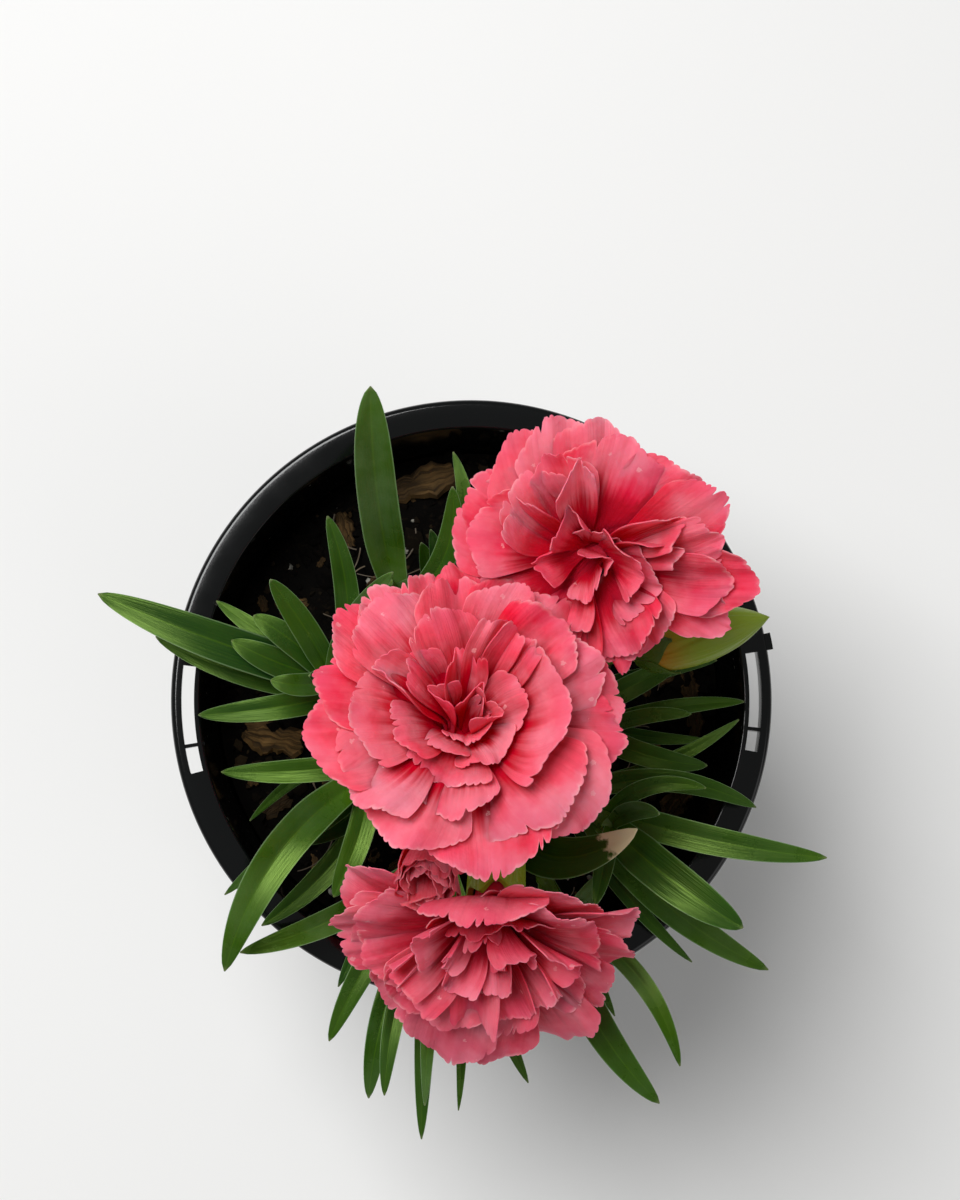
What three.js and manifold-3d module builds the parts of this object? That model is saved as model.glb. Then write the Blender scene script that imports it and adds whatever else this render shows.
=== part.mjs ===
// A dwarf double dianthus in a round black nursery pot.
// Three frilled blooms, one opening bud and one closed bud stand on slender stems among seven leafy
// shoots of strap leaves. Every stem is rooted in the potting mix that fills the pot.
// Units are millimetres. +Z is up, and the origin is the centre of the pot's flat underside.
// +X points to the right-hand grip slot and -Y to the side over which the lowest bloom leans.
import * as THREE from "three";
import { mergeVertices } from "three/addons/utils/BufferGeometryUtils.js";
import Module from "manifold-3d";

const wasm = await Module();
wasm.setup();

// ---------------------------------------------------------------- driving dimensions

const POT_HEIGHT = 124;
const RIM_RADIUS = 70;
const BASE_RADIUS = 50;
const WALL = 1.2;
const FLOOR = 1.8;
const WALL_TOP_RADIUS = 64.4; // outer face of the wall where it meets the flat rim
const LIP_WIDTH = 2.5; // the down-turned outer edge of the rim
const LIP_DEPTH = 11;
const RIM_THICKNESS = 1.5;
const POT_SIDES = 36;

const GRIP_SLOTS = [
  { from: -10.6, to: 9.4, rib: -6.1 },
  { from: 173.5, to: 195, rib: 189.5 },
]; // degrees round the rim
const RIB_WIDTH = 0.9;
const LABEL_NUB = { angle: 11, length: 4, reach: 1.4, height: 5 };
const DRAIN_HOLES = 6;
const DRAIN_RADIUS = 4;
const DRAIN_CIRCLE = 36;

const GAP = 0.3; // clear space between two pieces that touch on the real plant
const SOIL_TOP = 102;
const SOIL_RELIEF = 1.6;
const SOIL_CLEARANCE = 0.65; // to the wall, whose facets lie a little inside its true circle
const SOIL_RINGS = 5;
const ROOT_DEPTH = 24; // how far a stem goes down into the mix
const SOIL_SIDES = 24;
const BARK_THICKNESS = 3;

// Bark chips that lie half sunk in the mix: [x, y, length, width, turn in degrees].
const BARK_CHIPS = [
  [-10, 53, 17, 7, 18],
  [-30, 41, 9, 4, -75],
  [-47, -9, 14, 7, -12],
  [50, -24, 8, 5, 55],
  [42, 33, 9, 5, -40],
  [22, 50, 8, 5, 70],
  [-22, -48, 9, 5, 15],
];


const STEM_SIDES = 6;
const SHOOT_RADIUS = 1.8;
const FLOWER_STEM_RADIUS = 1.6;
const BRANCH_RADIUS = 1.3;

const LEAF_THICKNESS = 0.8;
const LEAF_BASE_SHARE = 0.36; // breadth where the leaf leaves the stem, as a share of its full breadth
const LEAF_TIP_HALF = 0.4;
const LEAF_ROOT = 0.5; // how far a leaf's root lies from the stem's centre line
const LEAF_CHANNEL = 0.32; // how deep the channel is, as a share of the half breadth
const NARROW_LEAF = 7.9; // a leaf no broader than this is a flat strap
const SHORT_LEAF = 36;

const CALYX = { length: 24, radius: 6.2, cup: 5 };
const SMALL_CALYX = { length: 17, radius: 5.2, cup: 4.2 };
const CALYX_TOOTH = 2.6;
const CUP_GAP = 0.5; // between the calyx's cup and the claws that stand in it

const PETAL_THICKNESS = 0.62;
const PETAL_LAP = 0.8; // each petal lies over one neighbour and under the other
const PETAL_TWIST = 0.1;
const CLAW_SHARE = 0.07; // breadth of a petal's claw, as a share of the petal's full breadth

// Whorls of petals inside the outermost ones, from the outside in. lift is the angle above the
// bloom's own plane, share is a petal's reach as a share of the bloom's span, and width is a
// petal's breadth as a share of its reach. claw is where it leaves the plug of claws, as [radius,
// height], and droop is how much its end bends down.
const OUTER_WHORL = { lift: 3, width: 0.9, droop: 16, claw: [3.7, 0] };
const WHORLS = [
  { petals: 5, lift: 32, share: 0.85, width: 0.94, droop: 8, claw: [2.8, 0] },
  { petals: 4, lift: 56, share: 0.72, width: 0.8, droop: 0, claw: [1.9, 0] },
  { petals: 3, lift: 79, share: 0.56, width: 0.66, droop: 0, claw: [1, 0] },
];

// ---------------------------------------------------------------- colours and finishes

const finish = (color, roughness) => new THREE.MeshStandardMaterial({ color, roughness, metalness: 0 });
const POT_PLASTIC = finish(0x15181a, 0.45);
const POTTING_MIX = finish(0x2a1e14, 0.95);
const LEAF_GREEN = finish(0x3c6e22, 0.5);
const STEM_GREEN = finish(0x6a8c2c, 0.5);
const PETAL_PINK = finish(0xe4566e, 0.6);
const BUD_PINK = finish(0xb52a45, 0.6);

// ---------------------------------------------------------------- the plant's layout

// Leafy shoots. root is where the shoot leaves the mix, top is its growing tip, and each leaf is
// [height share on the stem, tip x, tip y, tip z, width, arch, sway, taper]. Arch lifts the midline
// above the chord, sway bows it sideways, and a larger taper gives a blunter tip.
const SHOOTS = [
  {
    name: "leafy_shoot_left",
    root: [-12, 2],
    top: [-33, 4, 141],
    leaves: [
      [0.78, -85, 23, 142, 9, 12, 3, 1.9],
      [0.52, -73, 14, 130, 6.5, 12, 8, 2.2],
      [0.7, -59, 22, 133, 4.8, 9, 3, 2.2],
      [0.92, -50, 18, 146, 6.2, 6, -1.5, 2.4],
      [0.96, -46, 25.5, 154, 6, 4, -1.5, 2.2],
      [0.84, -55, 12.5, 144, 6.7, 6, 2.5, 2.4],
      [0.98, -46, 3.5, 148, 5.2, 5, 2.5, 2.2],
      [0.6, -63, -4, 132, 5.9, 11, 3, 2.2],
      [0.88, -33.5, 40, 150, 5.6, 5, -6, 2.2],
      [0.99, -19, 26.5, 164, 5, 6, 4, 2],
      [1, -37, 4, 164, 3.6, 2, 0, 1.8],
    ],
  },
  {
    name: "leafy_shoot_back",
    root: [-7, 13],
    top: [-20.5, 24.5, 158],
    leaves: [
      [0.86, -24, 64.5, 182, 8.7, 6, 3, 2.8],
      [0.6, -5.5, 54.5, 150, 4.6, 8, -13, 1.9],
      [0.5, -10.5, 37, 150, 4.2, 2, -5, 2.2],
      [0.74, -6, 45.5, 161, 5.6, 3, -8, 2.1],
      [0.4, -12.5, 34.5, 145, 4.8, 3, -3, 2.2],
      [0.66, -2.6, 35, 150, 4.2, 6, -4, 2],
      [0.9, -9, 24, 172, 4, 2, 0, 1.8],
    ],
  },
  {
    name: "leafy_shoot_right",
    root: [13, 1],
    top: [28, -8, 138],
    leaves: [
      [0.8, 53, -15.5, 136, 5.5, 8, -4.5, 2.1],
      [0.44, 54, -9.5, 127, 3.4, 8, -5, 2],
      [0.9, 61, -1, 140, 3.9, 9, 3, 1.9],
      [0.98, 48, -4, 147, 3.6, 6, 3, 2],
      [0.7, 48, 8.5, 132, 5.5, 8, 1, 2.2],
      [0.42, 57, 9, 124, 4, 9, 2, 1.9],
      [1, 30, -6, 160, 3.6, 2, 0, 1.8],
    ],
  },
  {
    name: "leafy_shoot_front_right",
    root: [12, -10],
    top: [30, -29, 146],
    leaves: [
      [0.74, 78, -36, 149, 6.7, 12, -4, 1.7],
      [0.66, 64, -25, 137, 5.2, 11, 9, 1.9],
      [0.9, 51, -20.5, 149, 4, 6, 8, 1.9],
      [0.6, 60.5, -5, 135, 3.6, 0, -6, 1.9],
      [0.93, 58, -51, 157, 9.2, 8, -3, 2.2],
      [0.66, 67, -62, 134, 7.2, 12, -10, 2],
      [0.46, 50, -60.5, 130, 4, 12, -7, 1.8],
      [0.98, 39, -26, 163, 4.4, 6, 4, 1.9],
      [1, 25.5, -46, 156, 4.4, 4, 0, 1.8],
    ],
  },
  {
    name: "leafy_shoot_front",
    root: [-4, -15],
    top: [-10, -50, 136],
    leaves: [
      [0.7, -33, -78, 131, 6, 9, -5, 2.1],
      [0.5, -31, -66, 128, 4.2, 10, -4, 2.2],
      [0.6, -53, -57.5, 137, 6.4, 4, 6, 2.1],
      [0.9, -24, -90, 138, 6, 8, -6, 2.3],
      [0.97, -20.5, -88.5, 145, 4.7, 8, -5, 2],
      [0.78, -12, -100, 132, 4.8, 11, -1.5, 1.8],
      [0.92, -11.5, -91, 143, 3.6, 10, 0, 1.9],
      [0.62, -3.5, -94, 129, 3.2, 12, 4.5, 1.9],
      [0.56, 12.5, -88, 128, 4.6, 15, -3.5, 2.1],
      [1, -12, -56, 154, 3.8, 2, 0, 1.8],
    ],
  },
  {
    name: "leafy_shoot_front_left",
    root: [-12, -8],
    top: [-25.5, -18.5, 139],
    leaves: [
      [0.62, -58, -17, 127, 5.7, 9, 2.5, 2],
      [0.36, -52, -28.5, 114, 3.2, 6, -9, 2],
      [0.94, -56, -61, 145, 8.6, 15, -11, 1.9],
      [0.36, -57, -45, 128, 4.2, 16, -1, 2.3],
      [0.56, -48.5, -52, 129, 6.2, 9, 9, 2.1],
      [0.86, -32, -45, 139, 6.2, 7, 3, 2.5],
      [0.5, -42, -33, 133, 6.4, 5, 9, 2.2],
      [0.7, -39, -32, 137, 5.4, 4, 1, 2],
      [1, -23.5, -15, 157, 3.8, 2, 0, 1.8],
    ],
  },
  {
    name: "leafy_shoot_front_middle",
    root: [6, -16],
    top: [21, -52, 134],
    leaves: [
      [0.84, 41.5, -91.5, 138, 7.6, 10, -9, 2],
      [0.94, 45.5, -82.5, 144, 4.6, 10, 10, 1.7],
      [0.6, 32.5, -73, 127, 3.4, 9, 0, 2],
      [0.7, 18, -76, 124, 5, 12, 0, 2],
      [0.98, 28, -39, 152, 5, 5, 0, 2],
      [1, 23, -57, 152, 3.8, 2, 0, 1.8],
    ],
  },
];

// Blooms. seat is the mouth of the calyx, face the way the bloom looks, span the usual reach of an
// outer petal, and outer lists the outermost petals as [azimuth in degrees, reach]. On the side of
// the azimuth `crowd` the petals stand up by `push` degrees more than elsewhere.
const BLOOM_CENTRE = {
  name: "bloom_centre",
  seat: [-6, -10, 197],
  face: [0.13, 0.22, 0.96],
  calyx: CALYX,
  span: 31,
  seed: 23,
  crowd: 145,
  push: 6,
  outer: [
    [0, 31],
    [42, 28],
    [86, 28],
    [130, 29],
    [170, 31],
    [208, 36],
    [242, 34],
    [280, 35],
    [320, 32],
  ],
};
const BLOOM_BACK_RIGHT = {
  name: "bloom_back_right",
  seat: [26.5, 32, 195],
  face: [-0.18, -0.25, 0.95],
  calyx: CALYX,
  span: 30,
  seed: 12,
  crowd: 245,
  push: 30,
  outer: [
    [350, 33],
    [28, 29],
    [68, 28],
    [106, 28],
    [140, 31],
    [172, 33],
    [212, 27],
    [258, 26],
    [304, 27],
  ],
};
const BLOOM_FRONT = {
  name: "bloom_front",
  seat: [3, -45, 170],
  face: [-0.06, -0.8, 0.6],
  calyx: CALYX,
  span: 31,
  seed: 37,
  crowd: 90,
  push: 34,
  outer: [
    [10, 34],
    [50, 29],
    [92, 27],
    [134, 31],
    [172, 33],
    [212, 32],
    [252, 33],
    [292, 34],
    [332, 35],
  ],
};
const OPENING_BUD = {
  name: "opening_bud_petals",
  seat: [-10.5, -29, 177],
  face: [-0.12, -0.74, 0.66],
  calyx: SMALL_CALYX,
  petals: 6,
};
const CLOSED_BUD = { foot: [34, 9.5, 157], face: [0.94, 0.24, 0.22], length: 31, radius: 6.4 };

// Flowering stems, with leaves listed as on the shoots.
const FLOWER_STEMS = [
  {
    name: "flower_stem_centre",
    root: [0, 5],
    bloom: BLOOM_CENTRE,
    branch: { from: 0.62, bloom: OPENING_BUD },
    leaves: [
      [0.42, -22, 12, 168, 6, 8, 0, 2],
      [0.42, 14, 14, 166, 6, 8, 0, 2],
    ],
  },
  {
    name: "flower_stem_back_right",
    root: [8, 13],
    bloom: BLOOM_BACK_RIGHT,
    leaves: [
      [0.36, 31, 18, 142, 6, 8, 0, 2],
      [0.36, 8, 40, 146, 6, 8, 0, 2],
      [0.72, 44, 42, 164, 5, 3, 0, 2],
      [0.72, 18, 28, 170, 5, 3, 0, 2],
    ],
  },
  {
    name: "flower_stem_front",
    root: [2, -6],
    bloom: BLOOM_FRONT,
    leaves: [
      [0.5, 10, -44, 138, 6, 8, 0, 2],
      [0.8, 33.5, -29, 169, 10, 2, -24, 1.8],
      [0.8, -10, -24, 158, 6, 4, 0, 2],
    ],
  },
];
const BUD_STEM = {
  name: "bud_stem",
  root: [16, 8],
  bud: CLOSED_BUD,
  leaves: [
    [0.5, 41, 20, 138, 5.4, 6, 0, 2],
    [0.5, 33, -1, 141, 5, 6, 0, 2],
  ],
};

// ---------------------------------------------------------------- small maths

const rad = THREE.MathUtils.degToRad;
const deg = THREE.MathUtils.radToDeg;
const vec = (p) => new THREE.Vector3(...p);
const UP = new THREE.Vector3(0, 0, 1);
const clamp01 = (x) => Math.min(1, Math.max(0, x));
const smooth = (x) => clamp01(x) ** 2 * (3 - 2 * clamp01(x));

// A repeatable draw from low to high for the whole numbers a and b.
function draw(a, b, low = 0, high = 1) {
  const wave = Math.sin(a * 12.9898 + b * 78.233) * 43758.5453;
  return low + (high - low) * (wave - Math.floor(wave));
}

// ---------------------------------------------------------------- solids

function solidOf(geometry) {
  const bare = geometry.clone();
  bare.deleteAttribute("normal");
  bare.deleteAttribute("uv");
  const merged = mergeVertices(bare, 1e-4);
  return new wasm.Manifold(
    new wasm.Mesh({
      numProp: 3,
      vertProperties: merged.attributes.position.array,
      triVerts: new Uint32Array(merged.index.array),
    }),
  );
}

function geometryOf(solid) {
  const mesh = solid.getMesh();
  const geometry = new THREE.BufferGeometry();
  geometry.setAttribute("position", new THREE.BufferAttribute(mesh.vertProperties, 3));
  geometry.setIndex(new THREE.BufferAttribute(mesh.triVerts, 1));
  geometry.computeVertexNormals();
  return geometry;
}

// Joins geometries into one body. A hollow sealed by the joining is filled, and a loose scrap goes.
function fuse(geometries) {
  const joined = wasm.Manifold.union(geometries.map(solidOf));
  return joined.decompose().reduce((best, body) => (body.volume() > best.volume() ? body : best));
}

// A blade of even thickness over a grid of surface points, with both faces split alike.
// pointAt(s, q) takes s from root to tip (0 to 1) and q from side to side (-1 to 1).
function blade(across, along, pointAt, thickness) {
  const at = (i, j) => pointAt(clamp01(i / along), Math.max(-1, Math.min(1, (2 * j) / across - 1)));
  const points = [[], []];
  for (let i = 0; i <= along; i++) {
    for (let j = 0; j <= across; j++) {
      const normal = at(i + 0.5, j).sub(at(i - 0.5, j)).cross(at(i, j + 0.5).sub(at(i, j - 0.5)));
      normal.normalize();
      points[0].push(at(i, j).addScaledVector(normal, thickness / 2));
      points[1].push(at(i, j).addScaledVector(normal, -thickness / 2));
    }
  }
  const under = points[0].length;
  const index = (i, j) => i * (across + 1) + j;
  const triangles = [];
  for (let i = 0; i < along; i++) {
    for (let j = 0; j < across; j++) {
      const [a, b, c, d] = [index(i, j), index(i + 1, j), index(i + 1, j + 1), index(i, j + 1)];
      triangles.push(a, b, c, a, c, d);
      triangles.push(a + under, c + under, b + under, a + under, d + under, c + under);
    }
  }
  const border = [];
  for (let j = 0; j < across; j++) border.push(index(0, j));
  for (let i = 0; i < along; i++) border.push(index(i, across));
  for (let j = across; j > 0; j--) border.push(index(along, j));
  for (let i = along; i > 0; i--) border.push(index(i, 0));
  border.forEach((a, k) => {
    const b = border[(k + 1) % border.length];
    triangles.push(a, b, b + under, a, b + under, a + under);
  });
  return new THREE.BufferGeometry().setFromPoints(points.flat()).setIndex(triangles);
}

// A body of revolution about Z. reshape(point, angle, ring) may then move each point.
function turned(outline, sides, reshape = () => {}) {
  const profile = outline.map(([r, z]) => new THREE.Vector2(r, z));
  const body = new THREE.LatheGeometry(profile, sides).rotateX(Math.PI / 2);
  const spots = body.attributes.position;
  const point = new THREE.Vector3();
  for (let k = 0; k < spots.count; k++) {
    point.fromBufferAttribute(spots, k);
    reshape(point, (2 * Math.PI * Math.floor(k / outline.length)) / sides, k % outline.length);
    spots.setXYZ(k, point.x, point.y, point.z);
  }
  return body;
}

// A round stem along a curve.
function stemTube(curve, radius, steps) {
  const circle = new THREE.Shape().absarc(0, 0, radius, 0, 2 * Math.PI);
  return new THREE.ExtrudeGeometry(circle, {
    extrudePath: curve,
    steps,
    curveSegments: STEM_SIDES,
  });
}

// ---------------------------------------------------------------- leaves and stems

// A stem above the mix: it leaves the mix straight up and arrives at its end along `arrive`.
function stemCurve(root, end, arrive) {
  const start = new THREE.Vector3(root[0], root[1], SOIL_TOP);
  const reach = start.distanceTo(end);
  const rise = start.clone().addScaledVector(UP, reach * 0.38);
  const settle = end.clone().addScaledVector(arrive, -reach * 0.3);
  return new THREE.CubicBezierCurve3(start, rise, settle, end);
}

// The direction in which a leafy shoot's tip points: outwards, and mostly up.
function shootLean({ root, top }) {
  const lean = new THREE.Vector3(top[0] - root[0], top[1] - root[1], 0).normalize();
  return lean.multiplyScalar(0.45).add(UP).normalize();
}

// An upright round peg: the part of a stem that stands in the mix, or the hole for it.
function rootPeg([x, y], radius, bottom) {
  const height = SOIL_TOP + 3 - bottom;
  const peg = new THREE.CylinderGeometry(radius, radius, height, STEM_SIDES);
  return peg.rotateX(Math.PI / 2).translate(x, y, bottom + height / 2);
}

// A strap leaf. Across, it is a shallow channel whose midrib lies lowest. Along, its midline is a
// quadratic curve from the stem to the tip, and it is widest a little short of half-way.
function strapLeaf(node, [, x, y, z, width, arch, sway, taper]) {
  const tip = new THREE.Vector3(x, y, z);
  const out = new THREE.Vector3(tip.x - node.x, tip.y - node.y, 0).normalize();
  const base = node.clone().addScaledVector(out, LEAF_ROOT);
  const sideways = new THREE.Vector3(-out.y, out.x, 0);
  const middle = base.clone().lerp(tip, 0.45).addScaledVector(UP, arch).addScaledVector(sideways, sway);
  const midline = new THREE.QuadraticBezierCurve3(base, middle, tip);
  const reference = UP.clone().addScaledVector(out, -0.3);
  const pointAt = (s, q) => {
    const along = middle.clone().sub(base).multiplyScalar(1 - s).addScaledVector(tip.clone().sub(middle), s);
    const side = reference.clone().cross(along).normalize();
    const face = along.normalize().cross(side);
    const swell = LEAF_BASE_SHARE + (1 - LEAF_BASE_SHARE) * smooth(s / 0.42);
    const narrowing = 1 - clamp01((s - 0.45) / 0.55) ** taper;
    const half = Math.max(LEAF_TIP_HALF, (width / 2) * swell * narrowing);
    const channel = LEAF_CHANNEL * (1 - 0.55 * s) * half * (Math.abs(q) - 0.5);
    return midline.getPoint(s).addScaledVector(side, q * half).addScaledVector(face, channel);
  };
  const across = width > NARROW_LEAF ? 2 : 1;
  const along = base.distanceTo(tip) > SHORT_LEAF ? 4 : 3;
  return blade(across, along, pointAt, LEAF_THICKNESS);
}

function leavesOn(curve, leaves) {
  return leaves.map((leaf) => strapLeaf(curve.getPoint(leaf[0]), leaf));
}

function leafyShoot(shoot) {
  const curve = stemCurve(shoot.root, vec(shoot.top), shootLean(shoot));
  const peg = rootPeg(shoot.root, SHOOT_RADIUS, SOIL_TOP - ROOT_DEPTH);
  return fuse([peg, stemTube(curve, SHOOT_RADIUS, 5), ...leavesOn(curve, shoot.leaves)]);
}

// ---------------------------------------------------------------- calyx, buds and flowering stems

// The placement that stands local +Z along `face`, with the local origin at `seat`.
function placement(seat, face) {
  const z = vec(face).normalize();
  const x = new THREE.Vector3(1, 0, 0);
  if (Math.abs(z.x) > 0.9) x.set(0, 1, 0);
  x.addScaledVector(z, -x.dot(z)).normalize();
  return new THREE.Matrix4().makeBasis(x, z.clone().cross(x), z).setPosition(...seat);
}

// A tubular calyx with five pointed teeth round its open mouth, a cup that takes the petals' claws,
// and four short scales that clasp its foot. Its mouth is at z = 0 and it hangs down from there.
function calyxBody({ length, radius, cup }) {
  const outline = [
    [0, -length - 1],
    [2.2, -length - 0.6],
    [radius * 0.8, -length * 0.88],
    [radius * 1.12, -length * 0.66],
    [radius * 0.94, -length * 0.64],
    [radius, -length * 0.36],
    [radius, 0],
    [cup, 0],
    [cup * 0.84, -length / 2],
    [0, -length / 2],
  ];
  return turned(outline, 10, (point, angle, ring) => {
    if (outline[ring][1] === 0) point.z -= CALYX_TOOTH * (0.5 - 0.5 * Math.cos(5 * angle));
    if (ring === 3 || ring === 4) point.z += length * 0.07 * Math.cos(4 * angle);
  });
}

// The petals' claws gather into one plug that stands in the calyx.
function clawPlug({ length, cup }) {
  const r = cup - CUP_GAP;
  const outline = [
    [0, CUP_GAP - length / 2],
    [r * 0.76, CUP_GAP - length / 2],
    [r, -2.6],
    [r, 1],
    [0, 1.8],
  ];
  return turned(outline, 8);
}

function calyxFoot({ seat, face, calyx }) {
  return vec(seat).addScaledVector(vec(face).normalize(), -calyx.length);
}

function seatedCalyx({ seat, face, calyx }) {
  return calyxBody(calyx).applyMatrix4(placement(seat, face));
}

function flowerStem(stem) {
  const { bloom } = stem;
  const curve = stemCurve(stem.root, calyxFoot(bloom), vec(bloom.face).normalize());
  const pieces = [
    rootPeg(stem.root, FLOWER_STEM_RADIUS, SOIL_TOP - ROOT_DEPTH),
    stemTube(curve, FLOWER_STEM_RADIUS, 6),
    seatedCalyx(bloom),
    ...leavesOn(curve, stem.leaves),
  ];
  if (stem.branch) pieces.push(...sideBranch(curve, stem.branch));
  return fuse(pieces);
}

// A side branch that carries another flower's calyx.
function sideBranch(stemLine, { from, bloom }) {
  const start = stemLine.getPoint(from);
  const foot = calyxFoot(bloom);
  const rise = start.clone().addScaledVector(UP, 7);
  const settle = foot.clone().addScaledVector(vec(bloom.face).normalize(), -6);
  const curve = new THREE.CubicBezierCurve3(start, rise, settle, foot);
  return [stemTube(curve, BRANCH_RADIUS, 4), seatedCalyx(bloom)];
}

// The closed bud: a plump pointed calyx, clasped by short scales, that shows no petals yet.
function closedBud({ foot, face, length, radius }) {
  const outline = [
    [0, -1],
    [2, -0.4],
    [radius * 0.84, length * 0.12],
    [radius * 1.08, length * 0.3],
    [radius * 0.96, length * 0.32],
    [radius, length * 0.48],
    [radius * 0.84, length * 0.68],
    [radius * 0.44, length * 0.87],
    [0, length],
  ];
  const bud = turned(outline, 10, (point, angle, ring) => {
    if (ring === 3 || ring === 4) point.z += length * 0.05 * Math.cos(4 * angle);
  });
  return bud.applyMatrix4(placement(foot, face));
}

function budStem({ root, bud, leaves }) {
  const curve = stemCurve(root, vec(bud.foot), vec(bud.face).normalize());
  return fuse([
    rootPeg(root, FLOWER_STEM_RADIUS, SOIL_TOP - ROOT_DEPTH),
    stemTube(curve, FLOWER_STEM_RADIUS, 6),
    closedBud(bud),
    ...leavesOn(curve, leaves),
  ]);
}

// ---------------------------------------------------------------- blooms

// One petal: a narrow claw that rises out of the calyx and flares into a broad, waved fan with a
// toothed edge. Its midline starts steep, and bends towards its own lift within a few millimetres.
function petalPoint(petal, s, q) {
  const edge = 1 - 0.2 * Math.abs(q) ** 2.6 + petal.tooth(q);
  const run = s * edge;
  const steps = 12;
  let [r, z, angle] = [...petal.claw, rad(84)];
  for (let i = 0; i < steps; i++) {
    const share = (run * (i + 0.5)) / steps;
    angle = rad(petal.lift + (84 - petal.lift) * Math.exp(-6 * share) - petal.droop * share * share);
    r += (Math.cos(angle) * petal.length * run) / steps;
    z += (Math.sin(angle) * petal.length * run) / steps;
  }
  const half = (petal.width / 2) * (CLAW_SHARE + (1 - CLAW_SHARE) * run ** 1.1);
  const wave = petal.ruffle * run * run * Math.sin(2.5 * Math.PI * q);
  const lap = (PETAL_LAP * Math.min(1, 6 * run) + PETAL_TWIST * half * run) * q;
  const lift = petal.cup * half * q * q * run + wave + lap;
  return new THREE.Vector3(r - lift * Math.sin(angle), q * half, z + lift * Math.cos(angle)).applyAxisAngle(
    UP,
    rad(petal.azimuth),
  );
}

// How much a crowded petal is pushed up. Petals that stand up anyway are moved less.
function crowding(bloom, { azimuth, lift }) {
  const towards = Math.max(0, Math.cos(rad(azimuth - bloom.crowd)));
  return bloom.push * towards ** 2 * (1 - lift / 110);
}

// The petals of one bloom: the outermost ones as listed, and inside them the whorls by rule.
function petalsOf(bloom) {
  const rows = bloom.outer.map(([azimuth, reach]) => ({ ...OUTER_WHORL, azimuth, reach }));
  WHORLS.forEach((whorl, layer) => {
    for (let k = 0; k < whorl.petals; k++) {
      const azimuth = (360 / whorl.petals) * (k + draw(bloom.seed + layer, k, -0.14, 0.14)) + bloom.seed;
      rows.push({ ...whorl, azimuth, reach: bloom.span * whorl.share });
    }
  });
  return rows.map((row, k) => {
    const spread = (trait, low, high) => draw(bloom.seed + k, trait, low, high);
    const reach = row.reach * spread(2, 0.96, 1.04);
    return {
      ...row,
      length: reach,
      width: reach * row.width * spread(3, 0.94, 1.08),
      lift: row.lift + crowding(bloom, row) + 3 * Math.sin(rad(2 * row.azimuth) + bloom.seed),
      ruffle: spread(6, 0.7, 1.3),
      cup: spread(9, 0, 0.15),
      tooth: (q) => 0.04 * Math.cos(2 * Math.PI * q),
    };
  });
}

function bloomHead(bloom) {
  const petals = petalsOf(bloom).map((petal) =>
    blade(4, petal.lift < 22 ? 3 : 2, (s, q) => petalPoint(petal, s, q), PETAL_THICKNESS),
  );
  return fuse([clawPlug(bloom.calyx), ...petals]);
}

// The opening bud's crumpled petals: short folded fans packed upright round a small core.
function openingBudPetals(bud) {
  const pieces = [clawPlug(bud.calyx)];
  for (let k = 0; k < bud.petals; k++) {
    const petal = {
      azimuth: (360 / bud.petals) * k + draw(5, k, 0, 20),
      length: draw(6, k, 11, 13.5),
      width: 8.5,
      lift: draw(7, k, 66, 76),
      droop: -14,
      ruffle: 0.9,
      cup: 0.4,
      claw: [2.4, 0],
      tooth: (q) => 0.05 * Math.cos(2 * Math.PI * q),
    };
    pieces.push(blade(4, 2, (s, q) => petalPoint(petal, s, q), PETAL_THICKNESS));
  }
  return fuse(pieces);
}

// ---------------------------------------------------------------- pot

// Outer radius of the pot's wall at height z, below the rim.
const wallRadius = (z) => THREE.MathUtils.lerp(BASE_RADIUS, WALL_TOP_RADIUS, z / POT_HEIGHT);

// An arc-shaped cutter or rib between two radii, two angles in degrees and two heights.
function arcBlock(inner, outer, [from, to], [low, high], steps) {
  const shape = new THREE.Shape();
  shape.absarc(0, 0, outer, rad(from), rad(to), false);
  shape.absarc(0, 0, inner, rad(to), rad(from), true);
  const block = new THREE.ExtrudeGeometry(shape, {
    depth: high - low,
    bevelEnabled: false,
    curveSegments: steps,
  });
  return block.translate(0, 0, low);
}

function angleSpan(middle, length) {
  const half = deg(length / 2 / RIM_RADIUS);
  return [middle - half, middle + half];
}

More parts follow.
